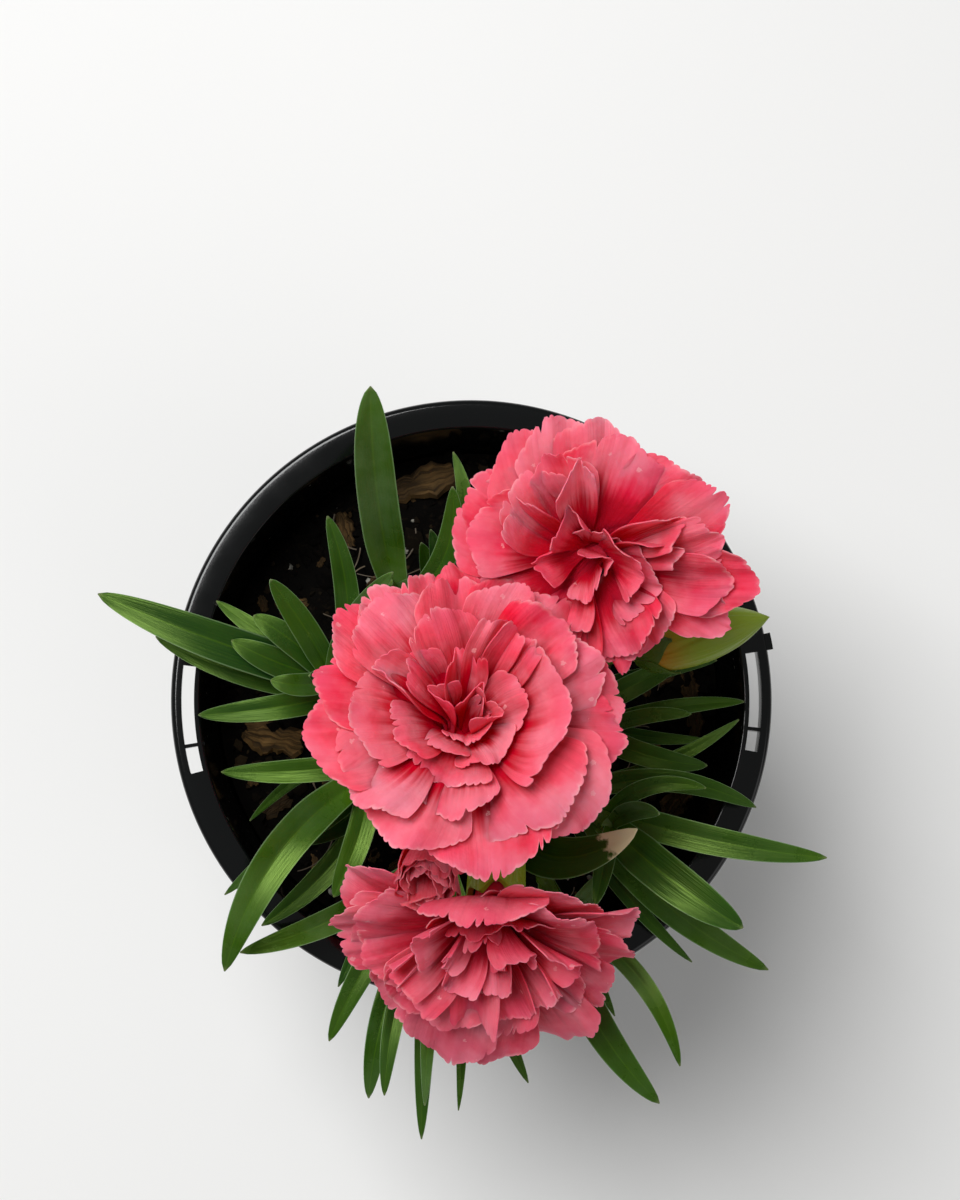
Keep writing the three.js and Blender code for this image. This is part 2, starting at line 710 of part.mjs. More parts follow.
function nurseryPot() {
  const lipInner = RIM_RADIUS - LIP_WIDTH;
  const underRim = POT_HEIGHT - RIM_THICKNESS;
  const outline = [
    [0, 0],
    [BASE_RADIUS, 0],
    [wallRadius(underRim), underRim],
    [lipInner + 0.4, underRim],
    [lipInner + 0.9, POT_HEIGHT - LIP_DEPTH],
    [RIM_RADIUS - 0.2, POT_HEIGHT - LIP_DEPTH],
    [RIM_RADIUS, POT_HEIGHT - 0.8],
    [RIM_RADIUS - 0.8, POT_HEIGHT],
    [WALL_TOP_RADIUS - WALL, POT_HEIGHT],
    [wallRadius(FLOOR) - WALL, FLOOR],
    [0, FLOOR],
  ];
  const cutters = GRIP_SLOTS.map(({ from, to }) =>
    arcBlock(WALL_TOP_RADIUS + 0.2, lipInner, [from, to], [underRim - 2, POT_HEIGHT + 2], 5),
  );
  for (let k = 0; k < DRAIN_HOLES; k++) {
    const angle = rad((360 / DRAIN_HOLES) * k);
    const drill = new THREE.CylinderGeometry(DRAIN_RADIUS, DRAIN_RADIUS, 3 * FLOOR, 8).rotateX(Math.PI / 2);
    cutters.push(drill.translate(DRAIN_CIRCLE * Math.cos(angle), DRAIN_CIRCLE * Math.sin(angle), FLOOR / 2));
  }
  const body = solidOf(turned(outline, POT_SIDES)).subtract(wasm.Manifold.union(cutters.map(solidOf)));
  const ribHeights = [POT_HEIGHT - LIP_DEPTH + 1, POT_HEIGHT - 0.6];
  const ribs = GRIP_SLOTS.map(({ rib }) =>
    arcBlock(wallRadius(ribHeights[0]) - 0.4, lipInner + 1.2, angleSpan(rib, RIB_WIDTH), ribHeights, 1),
  );
  const nub = arcBlock(
    RIM_RADIUS - 1,
    RIM_RADIUS + LABEL_NUB.reach,
    angleSpan(LABEL_NUB.angle, LABEL_NUB.length),
    [POT_HEIGHT - LABEL_NUB.height, POT_HEIGHT - 0.5],
    1,
  );
  return wasm.Manifold.union([body, ...[...ribs, nub].map(solidOf)]);
}

// ---------------------------------------------------------------- potting mix

// Height of the mix's surface: gentle heaps and finer lumps.
function soilHeight(x, y) {
  const heaps = Math.sin(x * 0.11 + 0.7) * Math.cos(y * 0.09 - 0.4);
  const lumps = Math.sin(x * 0.37 + 1.3 * Math.sin(y * 0.23)) * Math.sin(y * 0.41 + 0.6);
  return SOIL_TOP + (SOIL_RELIEF / 2) * (heaps + lumps);
}

function barkChip([x, y, length, width, turn]) {
  const chip = new THREE.BoxGeometry(length, width, BARK_THICKNESS);
  chip.applyMatrix4(new THREE.Matrix4().makeRotationFromEuler(new THREE.Euler(0.2, -0.16, rad(turn))));
  return chip.translate(x, y, soilHeight(x, y) + 0.2);
}

function pottingMix(roots) {
  const inside = (z) => wallRadius(z) - WALL - SOIL_CLEARANCE;
  const bottom = FLOOR + GAP;
  const edge = inside(SOIL_TOP - SOIL_RELIEF);
  const outline = [
    [0, bottom],
    [inside(bottom), bottom],
  ];
  for (let ring = SOIL_RINGS; ring >= 0; ring--) outline.push([(edge * ring) / SOIL_RINGS, SOIL_TOP]);
  const heap = turned(outline, SOIL_SIDES, (point, angle, ring) => {
    if (ring >= 2) point.z = soilHeight(point.x, point.y);
    if (ring === 2) point.z -= SOIL_RELIEF;
  });
  const holes = roots.map(([x, y, r]) => rootPeg([x, y], r + GAP, SOIL_TOP - ROOT_DEPTH - GAP));
  const mix = fuse([heap, ...BARK_CHIPS.map(barkChip)]);
  return mix.subtract(wasm.Manifold.union(holes.map(solidOf)));
}

// ---------------------------------------------------------------- the model

function named(name, solid, material) {
  const mesh = new THREE.Mesh(geometryOf(solid), material);
  mesh.name = name;
  return mesh;
}

function seated(mesh, { seat, face }) {
  mesh.applyMatrix4(placement(seat, face));
  return mesh;
}

function buildPlant() {
  const plant = new THREE.Group();
  const roots = [
    ...SHOOTS.map(({ root }) => [...root, SHOOT_RADIUS]),
    ...[...FLOWER_STEMS, BUD_STEM].map(({ root }) => [...root, FLOWER_STEM_RADIUS]),
  ];
  plant.add(named("nursery_pot", nurseryPot(), POT_PLASTIC));
  plant.add(named("potting_mix", pottingMix(roots), POTTING_MIX));
  SHOOTS.forEach((shoot) => plant.add(named(shoot.name, leafyShoot(shoot), LEAF_GREEN)));
  FLOWER_STEMS.forEach((stem) => plant.add(named(stem.name, flowerStem(stem), STEM_GREEN)));
  plant.add(named(BUD_STEM.name, budStem(BUD_STEM), STEM_GREEN));
  FLOWER_STEMS.forEach(({ bloom }) => plant.add(seated(named(bloom.name, bloomHead(bloom), PETAL_PINK), bloom)));
  plant.add(seated(named(OPENING_BUD.name, openingBudPetals(OPENING_BUD), BUD_PINK), OPENING_BUD));
  return plant;
}

export default buildPlant();
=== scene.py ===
"""Looks of a dwarf double dianthus in its round nursery pot, laid out as a Blender add-on.

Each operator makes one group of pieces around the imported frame. Plant and pot sizes are in
millimetres, and a piece turns them into metres when it becomes a mesh. +Z is up, and the origin is
the centre of the pot's underside.
"""

from itertools import combinations

import bpy
import numpy as np
from mathutils import Matrix, Vector


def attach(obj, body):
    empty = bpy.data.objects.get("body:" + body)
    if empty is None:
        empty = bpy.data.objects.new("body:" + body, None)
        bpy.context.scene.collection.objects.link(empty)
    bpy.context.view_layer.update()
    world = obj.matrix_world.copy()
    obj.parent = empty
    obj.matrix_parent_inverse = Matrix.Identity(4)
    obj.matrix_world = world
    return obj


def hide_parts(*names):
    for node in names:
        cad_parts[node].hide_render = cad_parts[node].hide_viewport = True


bl_info = {
    "name": "Dianthus in a nursery pot",
    "version": (1, 0, 0),
    "blender": (4, 5, 0),
    "location": "3D View > Sidebar > Dianthus",
    "description": "Makes the blooms, buds, leafy shoots, potting mix and pot of a dwarf dianthus",
    "category": "Add Mesh",
}

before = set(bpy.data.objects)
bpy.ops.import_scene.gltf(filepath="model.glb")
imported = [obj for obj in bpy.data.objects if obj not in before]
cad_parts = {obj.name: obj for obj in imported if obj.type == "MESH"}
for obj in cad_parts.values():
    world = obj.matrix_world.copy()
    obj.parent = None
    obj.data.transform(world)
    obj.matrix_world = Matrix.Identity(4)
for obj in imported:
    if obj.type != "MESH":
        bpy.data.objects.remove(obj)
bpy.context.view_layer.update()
BODY = "root"
MM = 0.001
UP = np.array([0.0, 0.0, 1.0])
TAU = 2 * np.pi

# ---------------------------------------------------------------- the plant's layout, millimetres

# A leafy shoot leaves the mix at root and grows to top. Each leaf is [height share on the stem,
# tip x, tip y, tip z, width, arch, sway, taper].
SHOOTS = {
    "leafy_shoot_left": dict(
        root=(-12, 2),
        top=(-33, 4, 141),
        leaves=[
            (0.78, -85, 23, 142, 9, 12, 3, 1.9),
            (0.52, -73, 14, 130, 6.5, 12, 8, 2.2),
            (0.7, -59, 22, 133, 4.8, 9, 3, 2.2),
            (0.92, -50, 18, 146, 6.2, 6, -1.5, 2.4),
            (0.96, -46, 25.5, 154, 6, 4, -1.5, 2.2),
            (0.84, -55, 12.5, 144, 6.7, 6, 2.5, 2.4),
            (0.98, -46, 3.5, 148, 5.2, 5, 2.5, 2.2),
            (0.6, -63, -4, 132, 5.9, 11, 3, 2.2),
            (0.88, -33.5, 40, 150, 5.6, 5, -6, 2.2),
            (0.99, -19, 26.5, 164, 5, 6, 4, 2),
            (1, -37, 4, 164, 3.6, 2, 0, 1.8),
        ],
    ),
    "leafy_shoot_back": dict(
        root=(-7, 13),
        top=(-20.5, 24.5, 158),
        leaves=[
            (0.86, -24, 64.5, 182, 8.7, 6, 3, 2.8),
            (0.6, -5.5, 54.5, 150, 4.6, 8, -13, 1.9),
            (0.5, -10.5, 37, 150, 4.2, 2, -5, 2.2),
            (0.74, -6, 45.5, 161, 5.6, 3, -8, 2.1),
            (0.4, -12.5, 34.5, 145, 4.8, 3, -3, 2.2),
            (0.66, -2.6, 35, 150, 4.2, 6, -4, 2),
            (0.9, -9, 24, 172, 4, 2, 0, 1.8),
        ],
    ),
    "leafy_shoot_right": dict(
        root=(13, 1),
        top=(28, -8, 138),
        leaves=[
            (0.8, 53, -15.5, 136, 5.5, 8, -4.5, 2.1),
            (0.44, 54, -9.5, 127, 3.4, 8, -5, 2),
            (0.9, 61, -1, 140, 3.9, 9, 3, 1.9),
            (0.98, 48, -4, 147, 3.6, 6, 3, 2),
            (0.7, 48, 8.5, 132, 5.5, 8, 1, 2.2),
            (0.42, 57, 9, 124, 4, 9, 2, 1.9),
            (1, 30, -6, 160, 3.6, 2, 0, 1.8),
        ],
    ),
    "leafy_shoot_front_right": dict(
        root=(12, -10),
        top=(30, -29, 146),
        leaves=[
            (0.74, 78, -36, 149, 6.7, 12, -4, 1.7),
            (0.66, 64, -25, 137, 5.2, 11, 9, 1.9),
            (0.9, 51, -20.5, 149, 4, 6, 8, 1.9),
            (0.6, 60.5, -5, 135, 3.6, 0, -6, 1.9),
            (0.93, 58, -51, 157, 9.2, 8, -3, 2.2),
            (0.66, 67, -62, 134, 7.2, 12, -10, 2),
            (0.46, 50, -60.5, 130, 4, 12, -7, 1.8),
            (0.98, 39, -26, 163, 4.4, 6, 4, 1.9),
            (1, 25.5, -46, 156, 4.4, 4, 0, 1.8),
        ],
    ),
    "leafy_shoot_front": dict(
        root=(-4, -15),
        top=(-10, -50, 136),
        leaves=[
            (0.7, -33, -78, 131, 6, 9, -5, 2.1),
            (0.5, -31, -66, 128, 4.2, 10, -4, 2.2),
            (0.6, -53, -57.5, 137, 6.4, 4, 6, 2.1),
            (0.9, -24, -90, 138, 6, 8, -6, 2.3),
            (0.97, -20.5, -88.5, 145, 4.7, 8, -5, 2),
            (0.78, -12, -100, 132, 4.8, 11, -1.5, 1.8),
            (0.92, -11.5, -91, 143, 3.6, 10, 0, 1.9),
            (0.62, -3.5, -94, 129, 3.2, 12, 4.5, 1.9),
            (0.56, 12.5, -88, 128, 4.6, 15, -3.5, 2.1),
            (1, -12, -56, 154, 3.8, 2, 0, 1.8),
        ],
    ),
    "leafy_shoot_front_left": dict(
        root=(-12, -8),
        top=(-25.5, -18.5, 139),
        leaves=[
            (0.62, -58, -17, 127, 5.7, 9, 2.5, 2),
            (0.36, -52, -28.5, 114, 3.2, 6, -9, 2),
            (0.94, -56, -61, 145, 8.6, 15, -11, 1.9),
            (0.36, -57, -45, 128, 4.2, 16, -1, 2.3),
            (0.56, -48.5, -52, 129, 6.2, 9, 9, 2.1),
            (0.86, -32, -45, 139, 6.2, 7, 3, 2.5),
            (0.5, -42, -33, 133, 6.4, 5, 9, 2.2),
            (0.7, -39, -32, 137, 5.4, 4, 1, 2),
            (1, -23.5, -15, 157, 3.8, 2, 0, 1.8),
        ],
    ),
    "leafy_shoot_front_middle": dict(
        root=(6, -16),
        top=(21, -52, 134),
        leaves=[
            (0.84, 41.5, -91.5, 138, 7.6, 10, -9, 2),
            (0.94, 45.5, -82.5, 144, 4.6, 10, 10, 1.7),
            (0.6, 32.5, -73, 127, 3.4, 9, 0, 2),
            (0.7, 18, -76, 124, 5, 12, 0, 2),
            (0.98, 28, -39, 152, 5, 5, 0, 2),
            (1, 23, -57, 152, 3.8, 2, 0, 1.8),
        ],
    ),
}

CALYX = dict(length=24, radius=6.2, cup=5)
SMALL_CALYX = dict(length=17, radius=5.2, cup=4.2)

# Blooms. seat is the calyx's mouth and face the way the bloom looks. Along local X and Y the petals
# shift just over the calyx, and lean further for each millimetre of height. Each petal is [azimuth,
# length, width, lift, bend, cup, fold], from the outermost in: lift is degrees above the bloom's
# plane, bend the degrees by which its tip turns up, cup and fold the rise of its edges for each
# millimetre across. dusk is how far the petals have aged, from 0 to 1.
BLOOMS = {
    "bloom_centre": dict(
        seat=(-6, -10, 197),
        face=(0.13, 0.22, 0.96),
        shift=(0.5, 1.5),
        lean=(0, 0.18),
        seed=23,
        dusk=0.0,
        petals=[
            (8, 33, 25, 4, -12, 0.05, 0),
            (34, 32, 24, 5, -12, 0.05, 0),
            (62, 31, 24, 5, -10, 0.05, 0),
            (84, 31, 22, 7, -12, 0.1, 0),
            (104, 31, 21, 5, -12, 0.05, 0),
            (126, 32, 21, 4, -10, 0, 0),
            (143, 33, 22, 6, -12, 0.05, 0),
            (161, 31, 22, 5, -8, 0.05, 0),
            (196, 32, 24, 4, -12, 0.05, 0),
            (240, 30, 27, 8, -14, 0, 0),
            (285, 32, 28, 3, -10, 0, 0),
            (325, 33, 26, 3, -12, 0, 0),
            (350, 32, 24, 5, -12, 0, 0),
            (212, 29, 23, 12, -10, 0.05, 0),
            (310, 28, 27, 14, -8, 0.05, 0),
            (94, 29, 20, 15, -6, 0.1, 0),
            (72, 29, 18, 18, -8, 0.1, 0.1),
            (133, 31, 22, 22, -26, -0.12, 0),
            (47, 29, 19, 24, -10, 0.1, 0.1),
            (19, 30, 22, 13, -8, 0.05, 0),
            (187, 27, 21, 20, 8, 0.1, 0),
            (263, 23, 18, 22, -10, 0.05, 0),
            (105, 24, 16, 34, -6, 0.1, 0.1),
            (348, 24, 30, 28, 34, 0.3, 0),
            (242, 17, 21, 40, -34, 0.1, 0),
            (162, 24, 15, 30, 8, 0, 1.2),
            (140, 20, 12, 44, -14, 0.1, 0.3),
            (200, 19, 15, 38, -16, 0.05, 0.2),
            (73, 23, 12, 46, -10, 0.1, 0.6),
            (48, 22, 13, 40, -14, 0.15, 1.0),
            (15, 17, 13, 56, -20, 0.1, 0.2),
            (100, 17, 12, 60, -26, 0.1, 0.9),
            (222, 14, 15, 54, -30, 0.1, 0.1),
            (300, 15, 15, 52, -24, 0.1, 0.2),
            (340, 15, 10, 66, 20, 0.2, 1.2),
            (155, 15, 9, 66, -20, 0.2, 1.3),
            (262, 12, 11, 72, -30, 0.2, 0.5),
            (62, 14, 8, 74, 10, 0.3, 1.3),
            (5, 12, 7, 78, -20, 0.2, 1.2),
        ],
    ),
    "bloom_back_right": dict(
        seat=(26.5, 32, 195),
        face=(-0.18, -0.25, 0.95),
        shift=(-5, -3.8),
        lean=(-0.1, -0.14),
        seed=12,
        dusk=0.15,
        petals=[
            (167, 27, 20, 4, -12, 0.05, 0.1),
            (145, 27.5, 19, 6, -10, 0.05, 0),
            (125, 29.5, 21, 6, -12, 0.05, 0),
            (104, 30, 19, 8, -12, 0.05, 0),
            (84, 29, 18, 7, -10, 0.05, 0),
            (42, 28, 22, 5, -12, 0, 0),
            (20, 31.5, 20, 6, -12, 0.05, 0.1),
            (353, 35, 17, 2, -8, 0, 0.1),
            (343, 31, 16, 0, -8, 0, 0.1),
            (309, 21.5, 24, 9, -14, 0.05, 0),
            (288, 22, 18, 3, -14, 0.05, 0.2),
            (262, 21, 16, 8, -16, 0.1, 0.5),
            (240, 18, 18, 8, -12, 0.05, 0.1),
            (208, 24, 26, 9, -10, 0, 0),
            (66, 28, 26, 17, -20, -0.12, 0),
            (352, 31, 15, 12, -8, 0, 0.3),
            (8, 30, 15, 14, -8, 0, 0.4),
            (151, 25, 21, 22, -8, 0.1, 0.1),
            (122, 26, 16, 32, -8, 0.1, 0.2),
            (98, 28, 14, 26, -10, 0.1, 0.1),
            (32, 26, 11, 28, -6, 0.1, 1.1),
            (19, 24, 10, 30, -6, 0, 1.1),
            (196, 21, 24, 20, -12, 0, 0),
            (302, 21, 22, 22, -10, 0.05, 0),
            (138, 24, 12, 38, 0, 0.1, 1.0),
            (90, 27, 10, 30, 0, 0.1, 1.3),
            (12, 18, 17, 44, 16, 0.3, 0.1),
            (60, 13, 12, 50, 0, 0.3, 0.1),
            (246, 15, 15, 32, -14, 0.05, 0.4),
            (338, 18, 19, 34, -6, 0.1, 0.1),
            (100, 19, 10, 50, 0, 0.2, 1.1),
            (170, 15, 9, 58, 0, 0.3, 0.7),
            (290, 12, 9, 62, 0, 0.3, 0.6),
            (30, 13, 8, 68, 0, 0.3, 0.6),
        ],
    ),
    "bloom_front": dict(
        seat=(3, -45, 170),
        face=(-0.06, -0.8, 0.6),
        shift=(-1.5, 0.5),
        lean=(-0.05, 0.04),
        seed=37,
        dusk=0.38,
        petals=[
            (12, 31.5, 20, 3, -8, 0, 0.2),
            (50, 28, 25, 16, -10, 0.05, 0),
            (88, 27, 27, 4, 104, 0, 0),
            (160, 33, 17, -4, -12, 0.05, 0),
            (178, 32, 25, 4, -8, 0.05, 0),
            (205, 31, 25, 8, -10, 0, 0),
            (234, 33, 24, 13, -6, 0.05, 0),
            (256, 42, 22, 15, -6, 0, 0.2),
            (277, 41.5, 24, 13, -5, 0, 0.1),
            (300, 40, 26, 13, -6, 0, 0),
            (322, 34, 27, 10, -10, 0, 0),
            (345, 32, 25, 4, -10, 0, 0),
            (30, 29, 24, 26, -6, 0.05, 0),
            (112, 19, 19, 30, 8, 0.05, 0.1),
            (66, 21, 20, 36, 12, 0.1, 0.1),
            (172, 28, 21, 12, -8, 0.05, 0.1),
            (196, 27, 22, 20, -8, 0.05, 0.1),
            (222, 29, 22, 26, -6, 0.1, 0.1),
            (248, 29, 19, 32, -10, 0.05, 0.3),
            (284, 31, 21, 26, -8, 0.05, 0.2),
            (312, 29, 23, 22, -8, 0.05, 0.1),
            (340, 27, 23, 16, -8, 0.05, 0.1),
            (5, 26, 18, 38, 0, 0.1, 0.5),
            (90, 16, 17, 54, 16, 0.1, 0.2),
            (152, 22, 14, 42, 0, 0, 0.7),
            (190, 25, 15, 40, -10, 0, 0.8),
            (218, 26, 15, 42, -16, 0.1, 0.7),
            (262, 27, 13, 44, -20, 0.1, 0.8),
            (292, 26, 14, 42, -16, 0.1, 0.7),
            (325, 25, 15, 38, -8, 0, 0.7),
            (30, 20, 11, 60, 0, 0.2, 0.6),
            (240, 20, 10, 58, -10, 0.2, 0.9),
            (305, 20, 10, 58, 0, 0.2, 0.8),
            (190, 18, 9, 64, 0, 0.2, 0.7),
            (100, 17, 9, 68, 0, 0.3, 0.4),
            (340, 16, 8, 74, 0, 0.3, 0.6),
        ],
    ),
}
OPENING_BUD = dict(
    seat=(-10.5, -29, 177),
    face=(-0.12, -0.74, 0.66),
    shift=(0, 0),
    lean=(0, 0),
    seed=5,
    dusk=0.0,
    petals=[
        (10, 17, 13, 60, 30, 0.4, 0.1),
        (70, 17, 13, 62, 30, 0.4, 0.1),
        (130, 17, 13, 58, 30, 0.4, 0.1),
        (190, 17, 13, 62, 30, 0.4, 0.1),
        (250, 18, 13, 58, 30, 0.4, 0.1),
        (310, 17, 13, 62, 30, 0.4, 0.1),
        (40, 17, 11, 72, 16, 0.4, 0.3),
        (100, 16, 11, 74, 10, 0.4, 0.3),
        (160, 17, 11, 72, 16, 0.4, 0.3),
        (280, 18, 11, 70, 16, 0.4, 0.3),
        (220, 17, 10, 78, 6, 0.4, 0.5),
        (340, 17, 10, 78, 6, 0.4, 0.5),
    ],
)
CLOSED_BUD = dict(foot=(34, 9.5, 157), face=(0.94, 0.24, 0.22), length=31, radius=6.4)

# Flowering stems, with leaves listed as on the shoots.
FLOWER_STEMS = {
    "flower_stem_centre": dict(
        root=(0, 5),
        bloom="bloom_centre",
        leaves=[
            (0.42, -22, 12, 168, 6, 8, 0, 2),
            (0.42, 14, 14, 166, 6, 8, 0, 2),
        ],
    ),
    "flower_stem_back_right": dict(
        root=(8, 13),
        bloom="bloom_back_right",
        leaves=[
            (0.36, 31, 18, 142, 6, 8, 0, 2),
            (0.36, 8, 40, 146, 6, 8, 0, 2),
            (0.72, 44, 42, 164, 5, 3, 0, 2),
            (0.72, 18, 28, 170, 5, 3, 0, 2),
        ],
    ),
    "flower_stem_front": dict(
        root=(2, -6),
        bloom="bloom_front",
        leaves=[
            (0.5, 10, -44, 138, 6, 8, 0, 2),
            (0.8, 33.5, -29, 169, 10, 2, -24, 1.8),
            (0.8, -10, -24, 158, 6, 4, 0, 2),
        ],
    ),
}
WITHERED_LEAF = ("flower_stem_front", 1)  # its tip has dried
BRANCH_FROM = 0.62  # height share on the centre stem where the opening bud's branch leaves it
BUD_STEM = dict(
    root=(16, 8),
    leaves=[
        (0.5, 41, 20, 138, 5.4, 6, 0, 2),
        (0.5, 33, -1, 141, 5, 6, 0, 2),
    ],
)

# Bark chips half sunk in the mix: [x, y, length, width, turn in degrees].
BARK_CHIPS = [
    (-10, 53, 17, 7, 18),
    (-30, 41, 9, 4, -75),
    (-47, -9, 14, 7, -12),
    (50, -24, 8, 5, 55),
    (42, 33, 9, 5, -40),
    (22, 50, 8, 5, 70),
    (-22, -48, 9, 5, 15),
]
GRIP_SLOTS = [(-10.6, 9.4, -6.1), (173.5, 195, 189.5)]  # [from, to, rib], degrees round the rim
RIB_HALF = 0.37  # half the angle that a rib takes up, degrees
NUB_ANGLE, NUB_HALF = 11, 1.6  # the small nub on the rim's outer edge: its middle and half its angle
NUB_HEIGHTS = (119, 123.4)
DRAIN_HOLES = 6
PLASTIC_SHARP = 38  # degrees from which an edge of the pot stays sharp

# ---------------------------------------------------------------- small maths


def unit(vectors):
    """Vectors along the last axis, each divided by its own length."""
    length = np.linalg.norm(vectors, axis=-1, keepdims=True)
    return vectors / np.maximum(length, 1e-12)


def smooth(x):
    """3x^2 - 2x^3 between 0 and 1, flat outside."""
    x = np.clip(x, 0, 1)
    return x * x * (3 - 2 * x)


def draw(a, b, low=0.0, high=1.0):
    """A repeatable draw from low to high for whole numbers a and b: the fraction of a large sine."""
    wave = np.sin(np.asarray(a) * 12.9898 + np.asarray(b) * 78.233) * 43758.5453
    return low + (high - low) * (wave - np.floor(wave))


def bezier(controls, t):
    """Points of the Bezier curve for all t at once: neighbouring controls are joined by straight
    lines, the points at share t on those are joined in turn, and so on until one is left."""
    points = [np.asarray(c, float) + 0 * t[:, None] for c in controls]
    while len(points) > 1:
        points = [a + (b - a) * t[:, None] for a, b in zip(points, points[1:])]
    return points[0]


def placement(face):
    """Columns x, y, z of the turn that stands local +Z along face, with local +X as near as can be to
    world +X, or to world +Y where the face lies along X."""
    z = unit(np.asarray(face, float))
    x = np.array([0.0, 1.0, 0.0]) if abs(z[0]) > 0.9 else np.array([1.0, 0.0, 0.0])
    x = unit(x - z * (x @ z))
    return np.stack([x, np.cross(z, x), z], axis=1)


def placed(points, seat, face):
    """Local points turned to face and moved to seat."""
    return points @ placement(face).T + np.asarray(seat, float)


def waves(x, y, seed, pitch, octaves=4):
    """Rough relief between about -1 and 1: three crossed sines in turned directions for each octave,
    with half the pitch and half the height of the octave before."""
    total = np.zeros(np.broadcast(x, y).shape)
    for k in range(octaves * 3):
        halving = 2 ** (k // 3)
        angle = draw(seed, k, 0, TAU)
        step = TAU / pitch * halving
        phase = draw(seed, k + 50, 0, TAU)
        along = x * np.cos(angle) + y * np.sin(angle)
        beat = np.sin(step * 0.61 * (y * np.cos(angle) - x * np.sin(angle)) + 2 * phase)
        total += np.sin(step * along + phase + 1.4 * beat) / halving
    return total / 3.2


# ---------------------------------------------------------------- meshes from grids


def grid_quads(rows, columns):
    """Quads of a grid of points, wound so that they face along (row step) x (column step)."""
    i, j = np.meshgrid(np.arange(rows - 1), np.arange(columns - 1), indexing="ij")
    a = (i * columns + j).ravel()
    return np.stack([a, a + columns, a + columns + 1, a + 1], axis=1)


def border_ring(rows, columns):
    """Indices once round the edge of a grid of points."""
    index = np.arange(rows * columns).reshape(rows, columns)
    return np.concatenate([index[0, :-1], index[:-1, -1], index[-1, :0:-1], index[:0:-1, 0]])


def linked(name, data):
    """A new object of that name in the scene."""
    made = bpy.data.objects.new(name, data)
    bpy.context.scene.collection.objects.link(made)
    return made


class Piece:
    """Gathers closed surfaces, in millimetres, and makes them one mesh object."""

    def __init__(self, name):
        self.name = name
        self.points, self.loops, self.sizes, self.uv, self.finish = [], [], [], [], []
        self.traits = {}
        self.count = 0

    def add(self, points, faces, uv, material=0, home=None, **traits):
        """Adds faces over points. home sends doubled points to one, and a quad that loses a corner
        to that becomes a triangle. traits are numbers for each point that the materials read, and
        one that isn't given is 0."""
        points = np.reshape(points, (-1, 3))
        uv = np.reshape(uv, (-1, 2))
        corners = faces if home is None else home[faces]
        keep = corners != np.roll(corners, -1, axis=1)
        sizes = keep.sum(axis=1)
        keep &= (sizes > 2)[:, None]
        used, loops = np.unique(corners[keep], return_inverse=True)
        self.loops.append(loops + self.count)
        self.sizes.append(sizes[sizes > 2])
        self.uv.append(uv[faces[keep]])
        self.finish.append(np.full((sizes > 2).sum(), material))
        self.points.append(points[used])
        for name, values in traits.items():
            full = np.broadcast_to(np.asarray(values, float).ravel(), len(points))
            self.traits.setdefault(name, []).append((self.count, full[used]))
        self.count += len(used)

    def add_blade(self, grid, thickness, across, along, material=0, **traits):
        """A closed shell over a grid of middle points: each point goes half the thickness up and
        down its normal, and quads join the two faces round the border. across runs from -1 to 1 and
        along from 0 to 1."""
        rows, columns = grid.shape[:2]
        normal = unit(np.cross(np.gradient(grid, axis=0), np.gradient(grid, axis=1)))
        half = normal * (np.broadcast_to(thickness, (rows, columns))[..., None] / 2)
        faces = grid_quads(rows, columns)
        under = rows * columns
        ring = border_ring(rows, columns)
        after = np.roll(ring, -1)
        walls = np.stack([ring, after, after + under, ring + under], axis=1)
        uv = grid_uv((across + 1) / 2, along)
        back = np.repeat([0.0, 1.0], under)
        size = (rows, columns)
        full = {name: np.tile(np.broadcast_to(v, size).ravel(), 2) for name, v in traits.items()}
        self.add(
            np.concatenate([grid + half, grid - half]),
            np.concatenate([faces, faces[:, ::-1] + under, walls]),
            np.concatenate([uv, uv]),
            material,
            back=back,
            **full,
        )

    def add_turned(self, rings, material=0, v=None, **traits):
        """A closed skin over rings of points, (ring, angle, 3), whose first and last rings have
        shrunk to a point and whose last column repeats the first one. On its texture u runs round,
        and v is a column with each ring's own value, or else even steps from first to last."""
        count, columns = rings.shape[:2]
        v = np.linspace(0, 1, count)[:, None] if v is None else v + np.zeros((count, 1))
        home = np.arange(count * columns).reshape(count, columns)
        home[:, -1] = home[:, 0]
        home[0] = home[0, 0]
        home[-1] = home[-1, 0]
        faces = grid_quads(count, columns)[:, ::-1]
        uv = grid_uv(np.linspace(0, 1, columns)[None, :], v)
        full = {name: np.broadcast_to(trait, home.shape).ravel() for name, trait in traits.items()}
        self.add(rings, faces, uv, material, home=home.ravel(), **full)

    def make(self, materials, slot, replaces=(), sharp=60):
        """The finished object: it rides on the body and stands for its CAD nodes. slot is not used."""
        mesh = bpy.data.meshes.new(self.name)
        points = np.concatenate(self.points) * MM
        loops = np.concatenate(self.loops)
        sizes = np.concatenate(self.sizes)
        mesh.vertices.add(len(points))
        mesh.vertices.foreach_set("co", points.ravel())
        mesh.loops.add(len(loops))
        mesh.loops.foreach_set("vertex_index", loops)
        mesh.polygons.add(len(sizes))
        mesh.polygons.foreach_set("loop_start", np.cumsum(sizes) - sizes)
        mesh.polygons.foreach_set("material_index", np.concatenate(self.finish))
        mesh.update(calc_edges=True)
        layer = mesh.uv_layers.new(name="UVMap")
        layer.data.foreach_set("uv", np.concatenate(self.uv).ravel())
        for name, parts in self.traits.items():
            values = np.zeros(len(points))
            for start, part in parts:
                values[start : start + len(part)] = part
            mesh.attributes.new(name, "FLOAT", "POINT").data.foreach_set("value", values)
        mesh.shade_smooth()
        mesh.set_sharp_from_angle(angle=np.radians(sharp))
        for material in materials:
            mesh.materials.append(material)
        piece = linked(self.name, mesh)
        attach(piece, BODY)
        if replaces:
            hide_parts(*replaces)
        return piece


